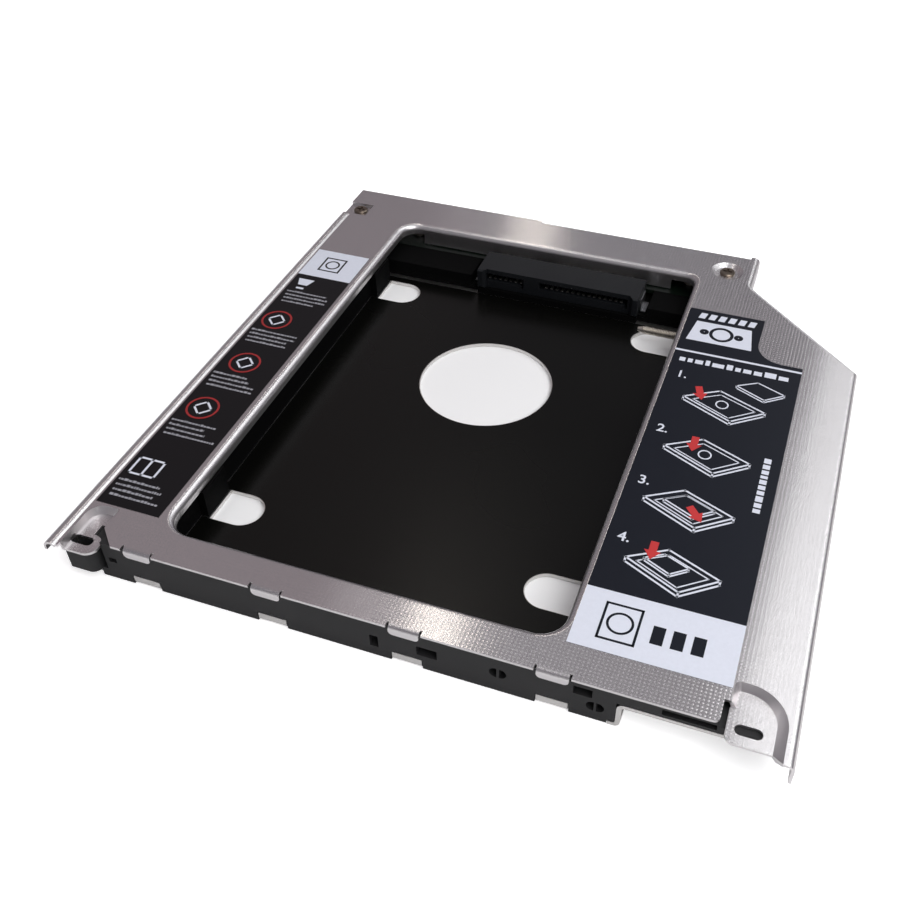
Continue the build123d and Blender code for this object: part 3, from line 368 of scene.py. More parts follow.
class Shader:
    """A material and the nodes that it is made of."""

    def __init__(self, name, **sockets):
        self.material = bpy.data.materials.new(name)
        self.material.use_nodes = True
        self.tree = self.material.node_tree
        self.surface = self.tree.nodes["Principled BSDF"]
        for socket, value in sockets.items():
            self.feed(socket, value)

    def feed(self, socket, value):
        """Gives one of the surface's sockets a signal or a constant."""
        self.give(self.surface.inputs[socket], value)

    def give(self, target, value):
        if isinstance(value, Signal):
            self.tree.links.new(value.socket, target)
        elif target.type == "RGBA":
            target.default_value = (*value[:3], 1.0)
        else:
            target.default_value = value

    def node(self, kind, settings=None, values=()):
        """Adds a node, with its settings and what its inputs are given."""
        made = self.tree.nodes.new(kind)
        for setting, value in (settings or {}).items():
            if setting == "stops":
                self.set_stops(made.color_ramp.elements, value)
            else:
                setattr(made, setting, value)
        pairs = values.items() if isinstance(values, dict) else enumerate(values)
        for socket, value in pairs:
            self.give(made.inputs[socket], value)
        return Made(self, made)

    def set_stops(self, elements, stops):
        while len(elements) < len(stops):
            elements.new(1.0)
        for element, (position, level) in zip(elements, stops):
            element.position = position
            element.color = (level, level, level, 1.0)

    def place(self):
        """Object coordinates, in metres."""
        return self.node("ShaderNodeTexCoord").out("Object")

    def axes(self):
        """The three coordinates as separate numbers."""
        split = self.node("ShaderNodeSeparateXYZ", None, (self.place(),))
        return split.out(0), split.out(1), split.out(2)

    def scaled(self, x, y, z):
        """Object coordinates stretched by three factors."""
        return self.node(
            "ShaderNodeVectorMath", {"operation": "MULTIPLY"}, (self.place(), (x, y, z))
        ).out(0)

    def noise(self, vector, scale, detail=2.0, roughness=0.5):
        return self.node(
            "ShaderNodeTexNoise",
            None,
            {"Vector": vector, "Scale": scale, "Detail": detail, "Roughness": roughness},
        ).out(0)

    def ramp(self, factor, *stops):
        """A grey level that follows a factor, from stops of position and level."""
        return self.node("ShaderNodeValToRGB", {"stops": stops}, (factor,)).out(0)

    def blend(self, factor, first, second):
        """Two colours mixed by a factor."""
        return self.node(
            "ShaderNodeMix", {"data_type": "RGBA"}, {0: factor, 6: first, 7: second}
        ).out(2)

    def bump(self, height, distance, strength=1.0, below=None):
        values = {"Height": height, "Distance": distance, "Strength": strength}
        if below is not None:
            values["Normal"] = below
        return self.node("ShaderNodeBump", None, values).out(0)


def shade(colour, factor):
    """A colour made darker or lighter by a factor."""
    return tuple(min(1.0, channel * factor) for channel in colour)


def dots(shader, pitch, radius):
    """Low round domes on a square grid in plan, as heights from 0 to 1."""
    across, along, _ = shader.axes()
    offsets = []
    for axis in (across, along):
        offsets.append(axis.with_math("PINGPONG", pitch / 2) / radius)
    fall = offsets[0] ** 2 + offsets[1] ** 2
    return (1.0 - fall).with_math("MAXIMUM", 0.0)


def cover_metal():
    """Sheet brushed across the caddy, with a fine grid of pressed dots on its right half.

    The grooves run along X, so they lean the normal in Y and Z alone, which spreads a lamp's
    mirror image into a band across them. Upright faces and bends are rougher, without dots.
    The dots are coloured lighter as a painted highlight, and between them the colour darkens
    towards the right side as painted shade.
    """
    colour = tuple(finish().cover_metal)
    shader = Shader("cover_metal", Metallic=1.0)
    across, _, _ = shader.axes()
    brushed = shader.noise(shader.scaled(*BRUSHING), 1.0, 1.0)
    streaks = shader.noise(shader.scaled(*STREAKS), 1.0, 2.0)
    cloud = shader.noise(shader.place(), 34, 3.0)
    normal = shader.node("ShaderNodeNewGeometry").out("Normal")
    level = abs(shader.node("ShaderNodeSeparateXYZ", None, (normal,)).out(2)) ** 4.0
    side = shader.ramp(across * DOT_SPREAD_RISE + 0.5, *DOT_SPREAD)
    pitch = finish().dot_pitch
    pressed = dots(shader, pitch, pitch * DOT_SHARE) * side * level
    toned = shader.blend(cloud * 0.7 + streaks * 0.3, shade(colour, 0.95), shade(colour, 1.02))
    # Towards the right side the colour between the dots is darker: painted shade
    between = shader.blend(side * 0.8, toned, shade(colour, 0.85))
    # The dots are coloured lighter than the sheet: a painted highlight on the domes
    shader.feed("Base Color", shader.blend(pressed * 0.8, between, shade(colour, 1.3)))
    smoothing = level * (UPRIGHT_ROUGHNESS - LEVEL_ROUGHNESS)
    shader.feed("Roughness", UPRIGHT_ROUGHNESS + cloud * 0.03 - smoothing)
    slope = (brushed - 0.5) * (level * 0.85 + 0.15) * GROOVE_SLOPE
    tilt = shader.node("ShaderNodeCombineXYZ", None, (0.0, slope, slope * 0.7)).out(0)
    tilted = normal.with_vectors("ADD", tilt).with_vectors("NORMALIZE")
    shader.feed("Normal", shader.bump(pressed, DOT_HEIGHT, 1.0, tilted))
    return shader.material


def tray_metal():
    """Plain sheet with faint rolling marks."""
    colour = tuple(finish().tray_metal)
    shader = Shader("tray_metal", Metallic=1.0)
    rolled = shader.noise(shader.scaled(2600, 40, 900), 1.0, 2.0)
    cloud = shader.noise(shader.place(), 50, 3.0)
    shader.feed("Base Color", shader.blend(cloud, shade(colour, 0.85), colour))
    shader.feed("Roughness", 0.24 + cloud * 0.16)
    shader.feed("Normal", shader.bump(rolled, 0.015 * MM))
    return shader.material


def film_black():
    """Glossy black film with slight waves."""
    colour = tuple(finish().film_black)
    shader = Shader("film_black")
    shader.feed("Specular IOR Level", 0.2)
    waves = shader.noise(shader.place(), 26, 2.0)
    dust = shader.noise(shader.place(), 1400, 4.0, 0.7)
    specks = shader.ramp(dust, (0.0, 0.0), (0.7, 0.0), (0.78, 1.0))
    shader.feed("Base Color", shader.blend(specks * 0.05, colour, shade(colour, 6.0)))
    shader.feed("Roughness", 0.2 + waves * 0.12)
    shader.feed("Normal", shader.bump(waves, 0.12 * MM, 0.3))
    return shader.material


def moulded(name, colour, roughness=0.5, sheen=0.3):
    """Moulded plastic with a fine grain and faint flow marks."""
    shader = Shader(name)
    shader.feed("Specular IOR Level", sheen)
    fine = shader.noise(shader.place(), 3200, 3.0, 0.6)
    flow = shader.noise(shader.place(), 120, 2.0)
    shader.feed("Base Color", shader.blend(flow, shade(colour, 0.82), shade(colour, 1.18)))
    shader.feed("Roughness", roughness + flow * 0.14)
    shader.feed("Normal", shader.bump(fine, 0.012 * MM, 0.7))
    return shader.material


def plated(name, colour, roughness=0.22):
    """Small metal fittings with a slightly uneven finish."""
    shader = Shader(name, Metallic=1.0)
    mottle = shader.noise(shader.place(), 700, 3.0)
    shader.feed("Base Color", shader.blend(mottle, shade(colour, 0.7), colour))
    shader.feed("Roughness", roughness + mottle * 0.18)
    return shader.material


def board_green():
    """Solder resist with faint tracks under it."""
    colour = tuple(finish().board_green)
    shader = Shader("board_green")
    across, along, _ = shader.axes()
    track_spacing, track_width = 0.7 * MM, 0.14 * MM
    lane_spacing, lane_width = 3.1 * MM, 0.8 * MM
    tracks = across.with_math("PINGPONG", track_spacing) < track_width
    lanes = along.with_math("PINGPONG", lane_spacing) < lane_width
    copper = tracks * lanes
    shader.feed("Base Color", shader.blend(copper * 0.5, colour, shade(colour, 1.8)))
    shader.feed("Roughness", 0.3 + copper * 0.1)
    return shader.material


def label_ground(name, colour):
    """Printed film with a slight orange-peel gloss."""
    shader = Shader(name)
    shader.feed("Specular IOR Level", 0.2)
    peel = shader.noise(shader.place(), 420, 2.0)
    cloud = shader.noise(shader.place(), 30, 2.0)
    shader.feed("Base Color", shader.blend(cloud, shade(colour, 0.88), shade(colour, 1.12)))
    shader.feed("Roughness", 0.34 + peel * 0.12)
    shader.feed("Normal", shader.bump(peel, 0.02 * MM, 0.5))
    return shader.material


def ink(name, colour):
    """Printed ink with slightly uneven cover."""
    shader = Shader(name)
    cover = shader.noise(shader.place(), 1600, 3.0)
    shader.feed("Base Color", shader.blend(cover, shade(colour, 0.93), shade(colour, 1.02)))
    shader.feed("Roughness", 0.38 + cover * 0.1)
    return shader.material


def paint_nodes(material, *names):
    """Gives CAD nodes their material."""
    for name in names:
        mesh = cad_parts[name].data
        mesh.materials.clear()
        mesh.materials.append(material)


def placed(name, mesh, material):
    """An object at the origin that shows a mesh in one material."""
    mesh.materials.clear()
    mesh.materials.append(material)
    piece = bpy.data.objects.new(name, mesh)
    bpy.context.scene.collection.objects.link(piece)
    return piece


def new_piece(name, shape, material, body="caddy"):
    """Makes a piece from a function that fills a bmesh, and lets it ride on its body."""
    mesh = bpy.data.meshes.new(name)
    built = bmesh.new()
    shape(built)
    bmesh.ops.recalc_face_normals(built, faces=built.faces)
    built.to_mesh(mesh)
    built.free()
    piece = placed(name, mesh, material)
    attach(piece, body)
    return piece


class Sheet:
    """Print on a label's film: shapes are laid down by their place, in millimetres.

    Across counts from the bay's left edge, along counts from the cover's front edge.
    """

    def __init__(self, built, label, layers):
        self.built = built
        self.base = label[1].z - PRINT_DEPTH
        self.height = layers * INK

    def point(self, across, along):
        """A place on the label as X and Y, in metres."""
        return Vector((BAY_LEFT + across * MM, COVER_FRONT + along * MM))

    def block(self, middle, length, width, angle=0.0):
        """A flat bar around its middle, with its length along an angle."""
        place = Matrix.Translation((middle.x, middle.y, self.base + self.height / 2))
        turn = Matrix.Rotation(angle, 4, "Z")
        size = Matrix.Diagonal((length, width, self.height, 1.0))
        bmesh.ops.create_cube(self.built, size=1.0, matrix=place @ turn @ size)

    def field(self, across_low, along_low, across_high, along_high):
        """A filled rectangle between two corners."""
        low = self.point(across_low, along_low)
        high = self.point(across_high, along_high)
        size = high - low
        self.block((low + high) / 2, size.x, size.y)

    def stroke(self, start, end, width):
        """A straight line of print between two points."""
        first = self.point(*start)
        last = self.point(*end)
        run = last - first
        angle = math.atan2(run.y, run.x)
        self.block((first + last) / 2, run.length + width * MM, width * MM, angle)

    def outline(self, points, width, closed=True):
        """A line through points, back to the first one if it is closed."""
        ends = points[1:] + points[:1] if closed else points[1:]
        for start, end in zip(points, ends):
            self.stroke(start, end, width)

    def ring(self, centre, radius, width):
        """A round ring of print, spun from the profile of its band."""
        middle = self.point(*centre)
        inner = middle.x + (radius - width / 2) * MM
        outer = inner + width * MM
        top = self.base + self.height
        corners = [
            self.built.verts.new((x, middle.y - RING_LEAD, z))
            for x, z in ((inner, self.base), (outer, self.base), (outer, top), (inner, top))
        ]
        profile = self.built.faces.new(corners)
        bmesh.ops.spin(
            self.built,
            geom=[*corners, *profile.edges, profile],
            cent=(middle.x, middle.y, 0),
            axis=(0, 0, 1),
            angle=2 * math.pi,
            steps=RING_STEPS,
            use_merge=True,
        )

    def polygon(self, points):
        """A filled shape through points."""
        corners = [self.built.verts.new((*self.point(*point), self.base)) for point in points]
        face = self.built.faces.new(corners)
        lifted = bmesh.ops.extrude_face_region(self.built, geom=[face])["geom"]
        top = [part for part in lifted if isinstance(part, bmesh.types.BMVert)]
        bmesh.ops.translate(self.built, verts=top, vec=(0, 0, self.height))

    def arrow(self, tip, angle):
        """A solid arrow that ends at its tip and points along an angle."""
        upper = (
            (0, 0),
            (-ARROW_HEAD, ARROW_WIDTH / 2),
            (-ARROW_HEAD, ARROW_STEM),
            (-ARROW_LENGTH, ARROW_STEM),
        )
        lower = [(x, -y) for x, y in reversed(upper[1:])]
        cosine, sine = math.cos(angle), math.sin(angle)
        turned = [(x * cosine - y * sine, x * sine + y * cosine) for x, y in (*upper, *lower)]
        self.polygon(shifted(turned, tip, 1.0))


def shifted(points, centre, scale):
    """Points scaled about nought and moved to a centre."""
    return [(centre[0] + scale * x, centre[1] + scale * y) for x, y in points]


def slab_outline(sheet, corners, depth, width):
    """The top of a slab and those edges of its sides that are in view."""
    lower = [(x, y - depth) for x, y in corners]
    sheet.outline(corners, width)
    sheet.outline([lower[0], lower[3], lower[2]], width, closed=False)
    for number in (0, 3, 2):
        sheet.stroke(corners[number], lower[number], width)


def slanted_plate(sheet, centre, hole):
    """A generic flat tray drawn at a slant, with its rim and perhaps a round hole."""
    corners = shifted(PLATE, centre, PLATE_SCALE)
    slab_outline(sheet, corners, PLATE_DEPTH * PLATE_SCALE, PLATE_LINE)
    sheet.outline(shifted(PLATE, centre, PLATE_SCALE * PLATE_INSIDE), FINE_LINE)
    if hole:
        (middle,) = shifted([HOLE_MIDDLE], centre, PLATE_SCALE)
        sheet.ring(middle, HOLE_RADIUS * PLATE_SCALE, HOLE_LINE)


def loose_slab(sheet, centre, scale):
    """A generic small slab drawn beside or in a tray."""
    slab_outline(sheet, shifted(PLATE, centre, scale), SLAB_DEPTH * scale, SLAB_LINE)


def small_bars(sheet, across, along, span, height, seed):
    """A row of short plain bars of uneven length."""
    lengths = random.Random(seed)
    place = across
    while place < across + span:
        length = height * lengths.uniform(0.45, 1.5)
        share = lengths.choice((1.0, 0.75, 0.75))
        end = min(place + length, across + span)
        sheet.field(place, along, end, along + height * share)
        place += length + height * 0.3


def right_white(built):
    """Light print of the right label."""
    sheet = Sheet(built, RIGHT_LABEL, layers=1)
    field = (72.3, 6.5, 98.0, 18.7)
    rule = (72.3, 86.2, 98.0, 86.8)
    panel = [(73.6, 90.6), (87.2, 90.6), (86.2, 97.8), (74.6, 97.8)]
    tooth = ((74.6, 99.0), (76.0, 99.0), (76.4, 101.0), (75.0, 101.0))
    tooth_count, tooth_pitch = 6, 2.1
    marks_left, marks_right = 94.8, 96.1
    marks_start, marks_end, marks_gap = 44.0, 59.0, 0.4
    sheet.field(*field)
    sheet.field(*rule)
    sheet.polygon(panel)
    for number in range(tooth_count):
        sheet.polygon(shifted(tooth, (tooth_pitch * number, 0.0), 1.0))
    small_bars(sheet, across=73.8, along=82.8, span=22.4, height=1.7, seed=3)
    for drawing in DRAWINGS:
        slanted_plate(sheet, drawing.plate, drawing.hole)
        if drawing.slab:
            loose_slab(sheet, drawing.slab, drawing.slab_scale)
    marks = random.Random(11)
    place = marks_start
    while place < marks_end:
        length = marks.uniform(0.6, 1.5)
        sheet.field(marks_left, place, marks_right, place + length)
        place += length + marks_gap


def right_dark(built):
    """Dark print on the light fields of the right label."""
    sheet = Sheet(built, RIGHT_LABEL, layers=2)
    square = [(76.4, 9.0), (76.4, 16.2), (82.2, 16.2), (82.2, 9.0)]
    square_middle = (79.3, 12.6)
    bars = ((84.4, 86.4), (87.6, 89.6), (90.8, 92.8))
    bars_front, bars_rear = 10.4, 14.0
    panel_middle = (80.4, 94.2)
    panel_dots = ((76.8, 94.2), (84.0, 94.2))
    sheet.outline(square, BOLD_LINE)
    sheet.ring(square_middle, radius=2.0, width=BOLD_LINE)
    for left, right in bars:
        sheet.field(left, bars_front, right, bars_rear)
    sheet.ring(panel_middle, radius=2.2, width=0.7)
    for dot in panel_dots:
        sheet.ring(dot, radius=0.5, width=0.9)


def right_red(built):
    """Arrows of the right label."""
    sheet = Sheet(built, RIGHT_LABEL, layers=2)
    for drawing in DRAWINGS:
        sheet.arrow(drawing.arrow_tip, math.radians(drawing.arrow_turn))


def left_white(built):
    """Light print of the left label."""
    sheet = Sheet(built, LEFT_LABEL, layers=1)
    field = (-14.8, 86.5, -2.0, 97.4)
    left, middle, right = -13.6, -11.0, -8.4
    front, rear = 16.8, 21.0
    line = 0.45
    wedge = [(-13.6, 84.8), (-9.8, 84.8), (-10.6, 82.4), (-12.8, 82.4)]
    dash = (-12.6, 80.8, -10.8, 81.4)
    reach = 1.9
    tilted_square = ((-reach, 0.0), (0.0, reach), (reach, 0.0), (0.0, -reach))
    sheet.field(*field)
    sheet.outline([(left, front), (left, rear), (right, rear), (right, front)], line)
    sheet.stroke((middle, front), (middle, rear), line)
    sheet.polygon(wedge)
    sheet.field(*dash)
    for centre in LEFT_RINGS:
        sheet.outline(shifted(tilted_square, centre, 1.0), BOLD_LINE)


def left_lines(built):
    """Rows of small bars of the left label."""
    sheet = Sheet(built, LEFT_LABEL, layers=1)
    rows, row_pitch, row_shift = 4, 1.3, 0.2
    seeds = random.Random(5)
    for across, along in LEFT_BLOCKS:
        for row in range(rows):
            span = seeds.uniform(7.5, 10.8)
            small_bars(
                sheet,
                across + row_shift * row,
                along - row_pitch * row,
                span,
                height=0.55,
                seed=seeds.random(),
            )


def left_dark(built):
    """Dark print on the light field of the left label."""
    sheet = Sheet(built, LEFT_LABEL, layers=2)
    square = [(-11.2, 89.4), (-11.2, 94.6), (-6.4, 94.6), (-6.4, 89.4)]
    square_middle = (-8.8, 92.0)
    line = 0.4
    sheet.outline(square, line)
    sheet.ring(square_middle, radius=1.5, width=line)


def left_red(built):
    """Plain red rings of the left label."""
    sheet = Sheet(built, LEFT_LABEL, layers=2)
    for centre in LEFT_RINGS:
        sheet.ring(centre, radius=3.1, width=BOLD_LINE)


def lowered_label(name, node, material):
    """The label's film, made thinner than its CAD plate so that the ink stays inside it."""
    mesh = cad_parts[node].data.copy()
    built = bmesh.new()
    built.from_mesh(mesh)
    bmesh.ops.remove_doubles(built, verts=built.verts, dist=MERGE)
    top = [vert for vert in built.verts if vert.co.z > COVER_TOP + INK]
    bmesh.ops.translate(built, verts=top, vec=(0, 0, -PRINT_DEPTH))
    built.to_mesh(mesh)
    built.free()
    piece = placed(name, mesh, material)
    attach(piece, "caddy")
    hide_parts(node)


def numeral(number, along, material):
    """The plain number of a drawing, laid flat on the right label."""
    curve = bpy.data.curves.new(f"step_{number}", "FONT")
    curve.body = f"{number}."
    curve.size = NUMERAL_HEIGHT * MM
    curve.offset = NUMERAL_WEIGHT
    curve.extrude = INK / 2
    text = bpy.data.objects.new(f"step_{number}_text", curve)
    bpy.context.scene.collection.objects.link(text)
    bpy.context.view_layer.update()
    mesh = bpy.data.meshes.new_from_object(text)
    bpy.data.objects.remove(text)
    corner = (
        BAY_LEFT + NUMERAL_ACROSS * MM,
        COVER_FRONT + along * MM,
        RIGHT_LABEL[1].z - PRINT_DEPTH + INK / 2,
    )
    mesh.transform(Matrix.Translation(corner))
    piece = placed(f"step_{number}", mesh, material)
    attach(piece, "caddy")


def threaded_rod(built, box):
    """A clamp screw: tapered tip, threaded shank and a round socket in its far end."""
    low, high = box
    middle_y = (low.y + high.y) / 2
    middle_z = (low.z + high.z) / 2
    radius = (high.z - low.z) / 2
    pitch = finish().thread_pitch
    core = radius - finish().thread_depth
    start, end = low.x, high.x
    profile = (
        (start, 0.0),
        (start, SCREW_POINT),
        (start + SCREW_TIP, core),
        (end - SCREW_CHAMFER, core),
        (end, core - SCREW_CHAMFER),
        (end, SOCKET_RADIUS),
        (end - SOCKET_DEPTH, SOCKET_RADIUS),
        (end - SOCKET_DEPTH, 0.0),
    )
    verts = [built.verts.new((x, middle_y, middle_z + height)) for x, height in profile]
    edges = [built.edges.new(pair) for pair in zip(verts, verts[1:])]
    bmesh.ops.spin(
        built,
        geom=verts + edges,
        cent=(0, middle_y, middle_z),
        axis=(1, 0, 0),
        angle=2 * math.pi,
        steps=SCREW_SIDES,
        use_merge=True,
    )
    bmesh.ops.remove_doubles(built, verts=built.verts, dist=MERGE)
    turns = int((end - start - SCREW_TIP - pitch) / pitch)
    steps = turns * THREAD_STEPS
    first = start + SCREW_TIP * THREAD_START
    width = pitch * THREAD_WIDTH
    foot = middle_z + core - THREAD_SINK
    ridge = [
        built.verts.new((first, middle_y, foot)),
        built.verts.new((first + width / 2, middle_y, middle_z + radius)),
        built.verts.new((first + width, middle_y, foot)),
    ]
    face = built.faces.new(ridge)
    bmesh.ops.spin(
        built,
        geom=[*ridge, *face.edges, face],
        cent=(0, middle_y, middle_z),
        axis=(1, 0, 0),
        dvec=(turns * pitch / steps, 0, 0),
        angle=2 * math.pi * turns,
        steps=steps,
        use_merge=False,
    )


class CADDY_OT_metal(bpy.types.Operator):
    """Finish the cover and the tray in their sheet metal"""

    bl_idname = "caddy.metal"
    bl_label = "Sheet Metal"

    def execute(self, context):
        paint_nodes(cover_metal(), "top_cover")
        paint_nodes(tray_metal(), "bottom_tray")
        paint_nodes(film_black(), "floor_film")
        return {"FINISHED"}


class CADDY_OT_mouldings(bpy.types.Operator):
    """Finish the moulded frame, the connectors and the board"""

    bl_idname = "caddy.mouldings"
    bl_label = "Mouldings and Board"

    def execute(self, context):
        frame_paint = moulded("frame_black", tuple(finish().frame_black))
        paint_nodes(frame_paint, "front_bar")
        # The rails and the rear carrier are coloured darker than the frame: painted shade inside
        # the bay
        inner = shade(finish().frame_black, INNER_PAINTED_SHADE)
        inner_shaded_paint = moulded("inner_black_painted_shade", inner, roughness=0.7, sheen=0.05)
        paint_nodes(inner_shaded_paint, "left_rail", "right_rail", "rear_carrier")
        connector = moulded("connector_black", tuple(finish().connector_black), roughness=0.38)
        paint_nodes(connector, "drive_connector", "host_plug")
        paint_nodes(board_green(), "adapter_board")
        paint_nodes(moulded("chip_body", tuple(finish().chip_grey)), "board_components")
        return {"FINISHED"}


class CADDY_OT_fittings(bpy.types.Operator):
    """Finish the contacts, clips, screws and inserts"""

    bl_idname = "caddy.fittings"
    bl_label = "Metal Fittings"

    def execute(self, context):
        gold = plated("contact_gold", tuple(finish().contact_gold))
        paint_nodes(gold, "drive_contacts", "host_contacts")
        paint_nodes(plated("clip_tin", tuple(finish().clip_tin)), "connector_clips")
        steel = plated("screw_steel", tuple(finish().screw_steel))
        paint_nodes(steel, "board_screws")
        aged = plated("aged_steel", tuple(finish().aged_steel))
        paint_nodes(aged, "cover_screw_left", "cover_screw_right")
        brass = plated("insert_brass", tuple(finish().insert_brass))
        paint_nodes(brass, "insert_rear", "insert_front")
        return {"FINISHED"}


class CADDY_OT_threads(bpy.types.Operator):
    """Make the clamp screws with their threads"""

    bl_idname = "caddy.threads"
    bl_label = "Clamp Screw Threads"

    def execute(self, context):
        steel = plated("clamp_steel", tuple(finish().screw_steel), 0.28)
        for node, box in (("set_screw_rear", REAR_SCREW), ("set_screw_front", FRONT_SCREW)):
            shape = partial(threaded_rod, box=box)
            piece = new_piece(node + "_threaded", shape, steel, node)
            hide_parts(node)
        return {"FINISHED"}


class CADDY_OT_labels(bpy.types.Operator):
    """Make the two labels with plain generic print"""

    bl_idname = "caddy.labels"
    bl_label = "Labels"

    def execute(self, context):
        left_ground = label_ground("left_ground", tuple(finish().left_black))
        right_ground = label_ground("right_ground", tuple(finish().right_black))
        lowered_label("left_label_film", "left_label", left_ground)
        lowered_label("right_label_film", "right_label", right_ground)
        white = ink("ink_white", tuple(finish().ink_white))
        grey = ink("ink_grey", tuple(finish().ink_grey))
        red = ink("ink_red", tuple(finish().ink_red))
        dark_red = ink("ink_dark_red", shade(finish().ink_red, RING_SHADE))
        new_piece("right_print_white", right_white, white)
        new_piece("right_print_dark", right_dark, right_ground)
        new_piece("right_print_red", right_red, red)
        new_piece("left_print_white", left_white, white)
        new_piece("left_print_lines", left_lines, grey)
        new_piece("left_print_dark", left_dark, left_ground)
        new_piece("left_print_red", left_red, dark_red)
        for number, drawing in enumerate(DRAWINGS, start=1):
            numeral(number, drawing.number_along, white)
        return {"FINISHED"}


class CADDY_OT_stage(bpy.types.Operator):
    """Set up the floor, the lamps, the room and the camera"""

    bl_idname = "caddy.stage"
    bl_label = "Stage"

    def execute(self, context):
        make_floor()
        make_room()
        make_lamps()
        make_camera()
        return {"FINISHED"}


class CADDY_PT_sidebar(bpy.types.Panel):
    """Operators and settings of the drive caddy"""

    bl_idname = "CADDY_PT_sidebar"
    bl_label = "Drive Caddy"
    bl_space_type = "VIEW_3D"
    bl_region_type = "UI"
    bl_category = "Drive Caddy"

    def draw(self, context):
        layout = self.layout
        for operator in OPERATORS:
            layout.operator(operator.bl_idname)
        for settings in (context.scene.caddy_finish, context.scene.caddy_stage):
            column = layout.column()
            for name in settings.__annotations__:
                column.prop(settings, name)


def make_floor():
    """A pale floor under the tray; the camera sees it white around the caddy."""
    built = bmesh.new()
    bmesh.ops.create_grid(
        built,
        x_segments=1,
        y_segments=1,
        size=FLOOR_REACH,
        matrix=Matrix.Translation((0, 0, TRAY[0].z - FLOOR_GAP)),
    )
    mesh = bpy.data.meshes.new("floor")
    built.to_mesh(mesh)
    built.free()
    shader = Shader("floor_white", Roughness=0.9)
    shader.feed("Base Color", tuple(stage_settings().floor_white))
    across, along, _ = shader.axes()
    half_width = BAY_WIDTH / 2
    half_depth = BAY_DEPTH / 2
    covered = (abs(across - BAY_LEFT - half_width) < half_width) * (
        abs(along - BAY_FRONT - half_depth) < half_depth
    )
    seen = shader.node("ShaderNodeLightPath").out("Is Camera Ray")
    distance = (across ** 2.0 + along ** 2.0) ** 0.5
    glow = shader.blend((distance - GLOW_START) / GLOW_RUN, FLOOR_GLOW, WHITE)
    shader.feed("Emission Color", shader.blend(seen * (1.0 - covered), BLACK, glow))
    shader.feed("Emission Strength", 1.0)
    mesh.materials.append(shader.material)
    floor = bpy.data.objects.new("floor", mesh)
    bpy.context.scene.collection.objects.link(floor)


def make_room():
    """An even grey room, which the metal mirrors; the camera sees it white."""
    world = bpy.data.worlds.new("room")
    world.use_nodes = True
    nodes = world.node_tree.nodes
    mix = nodes.new("ShaderNodeMix")
    mix.data_type = "RGBA"
    mix.inputs[6].default_value = (*stage_settings().room_grey, 1.0)
    mix.inputs[7].default_value = (*WHITE, 1.0)
    links = world.node_tree.links
    links.new(nodes.new("ShaderNodeLightPath").outputs["Is Camera Ray"], mix.inputs[0])
    links.new(mix.outputs[2], nodes["Background"].inputs["Color"])
    bpy.context.scene.world = world


def softbox(name, place, size, radiance, colour=WHITE, upright=True):
    """A rectangular lamp of even brightness; an upright one keeps its sides at a fixed X."""
    lamp = bpy.data.lights.new(name, "AREA")
    lamp.shape = "RECTANGLE"
    lamp.size, lamp.size_y = size
    lamp.energy = radiance * math.pi * size[0] * size[1]
    lamp.color = colour
    stand = bpy.data.objects.new(name, lamp)
    stand.location = place
    facing = Vector((0, place[1], place[2])) if upright else Vector(place)
    stand.rotation_mode = "QUATERNION"
    stand.rotation_quaternion = facing.to_track_quat("Z", "Y")
    bpy.context.scene.collection.objects.link(stand)


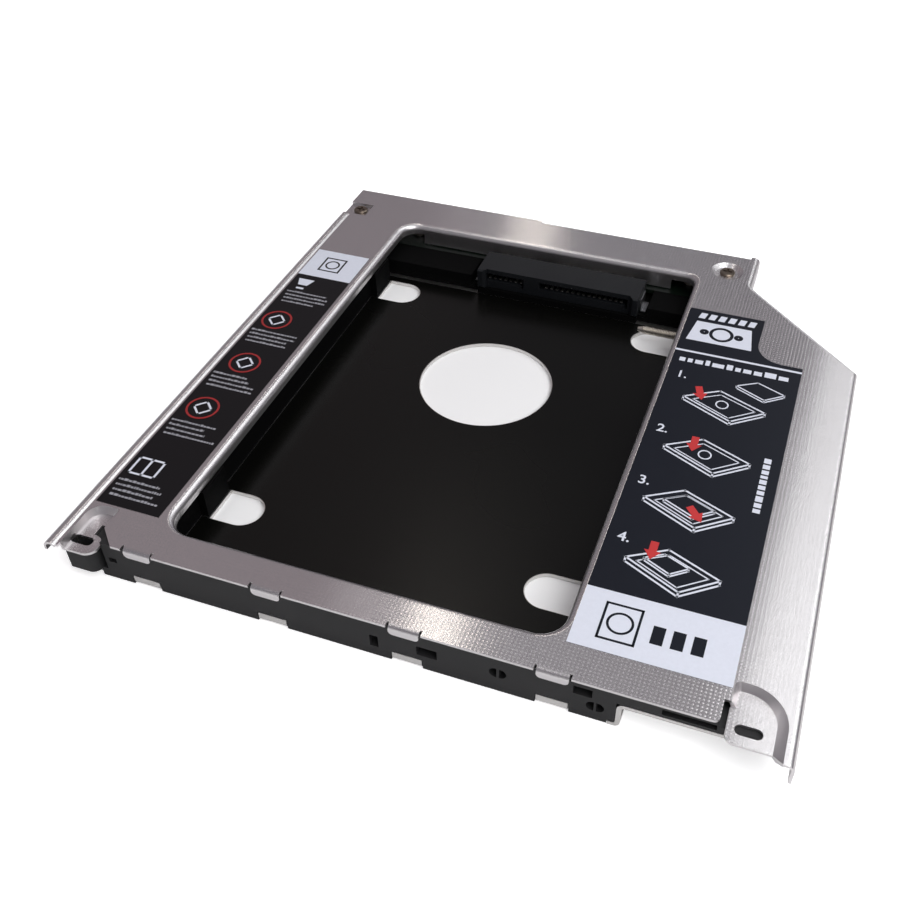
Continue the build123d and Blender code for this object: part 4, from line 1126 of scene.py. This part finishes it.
def make_lamps():
    """A wide softbox at the right rear, a narrow strip overhead and a soft fill at the front."""
    softbox(
        "softbox_right",
        place=(0.69, 0.66, 1.0),
        size=(1.2, 1.2),
        radiance=1.27,
        colour=(0.97, 1.0, 1.0),
    )
    softbox(
        "warm_wall",
        place=(-1.0, 0.66, 1.0),
        size=(1.2, 1.2),
        radiance=0.1,
        colour=(1.0, 0.65, 0.6),
    )
    softbox(
        "strip_rear",
        place=(-0.325, 0.49, 1.115),
        size=(0.07, 0.74),
        radiance=3.5,
        colour=(1.0, 0.93, 0.84),
    )
    softbox("ceiling", place=(0.0, 0.0, 1.3), size=(1.0, 1.0), radiance=0.6)
    softbox(
        "fill_front",
        place=(0.24, -0.17, 0.33),
        size=(0.3, 0.3),
        radiance=4.0,
        upright=False,
    )


def make_camera():
    """The camera, at the photograph's angle and framing."""
    settings = stage_settings()
    camera = bpy.data.cameras.new("camera")
    camera.sensor_width = 36.0
    camera.lens = camera.sensor_width * settings.focal_pixels / PHOTO_SIDE
    camera.shift_x = (PHOTO_SIDE / 2 - settings.middle_x) / PHOTO_SIDE
    camera.shift_y = (settings.middle_y - PHOTO_SIDE / 2) / PHOTO_SIDE
    camera.clip_start = 1 * MM
    camera.clip_end = 20.0
    stand = bpy.data.objects.new("camera", camera)
    turn = (
        Matrix.Rotation(settings.azimuth, 4, "Z")
        @ Matrix.Rotation(math.pi / 2 - settings.elevation, 4, "X")
        @ Matrix.Rotation(settings.roll, 4, "Z")
    )
    stand.matrix_world = Matrix.Translation(settings.camera_place) @ turn
    bpy.context.scene.collection.objects.link(stand)
    bpy.context.scene.camera = stand


OPERATORS = (
    CADDY_OT_metal,
    CADDY_OT_mouldings,
    CADDY_OT_fittings,
    CADDY_OT_threads,
    CADDY_OT_labels,
    CADDY_OT_stage,
)
GROUPS = (CaddyFinish, CaddyStage)


def register():
    for kind in (*GROUPS, *OPERATORS, CADDY_PT_sidebar):
        bpy.utils.register_class(kind)
    bpy.types.Scene.caddy_finish = bpy.props.PointerProperty(type=CaddyFinish)
    bpy.types.Scene.caddy_stage = bpy.props.PointerProperty(type=CaddyStage)


def unregister():
    del bpy.types.Scene.caddy_stage
    del bpy.types.Scene.caddy_finish
    for kind in reversed((*GROUPS, *OPERATORS, CADDY_PT_sidebar)):
        bpy.utils.unregister_class(kind)


def main():
    """Makes the whole scene."""
    register()
    bpy.context.scene.view_settings.view_transform = "Standard"
    bpy.ops.caddy.metal()
    bpy.ops.caddy.mouldings()
    bpy.ops.caddy.fittings()
    bpy.ops.caddy.threads()
    bpy.ops.caddy.labels()
    bpy.ops.caddy.stage()
    bpy.context.view_layer.update()


if __name__ == "__main__":
    main()
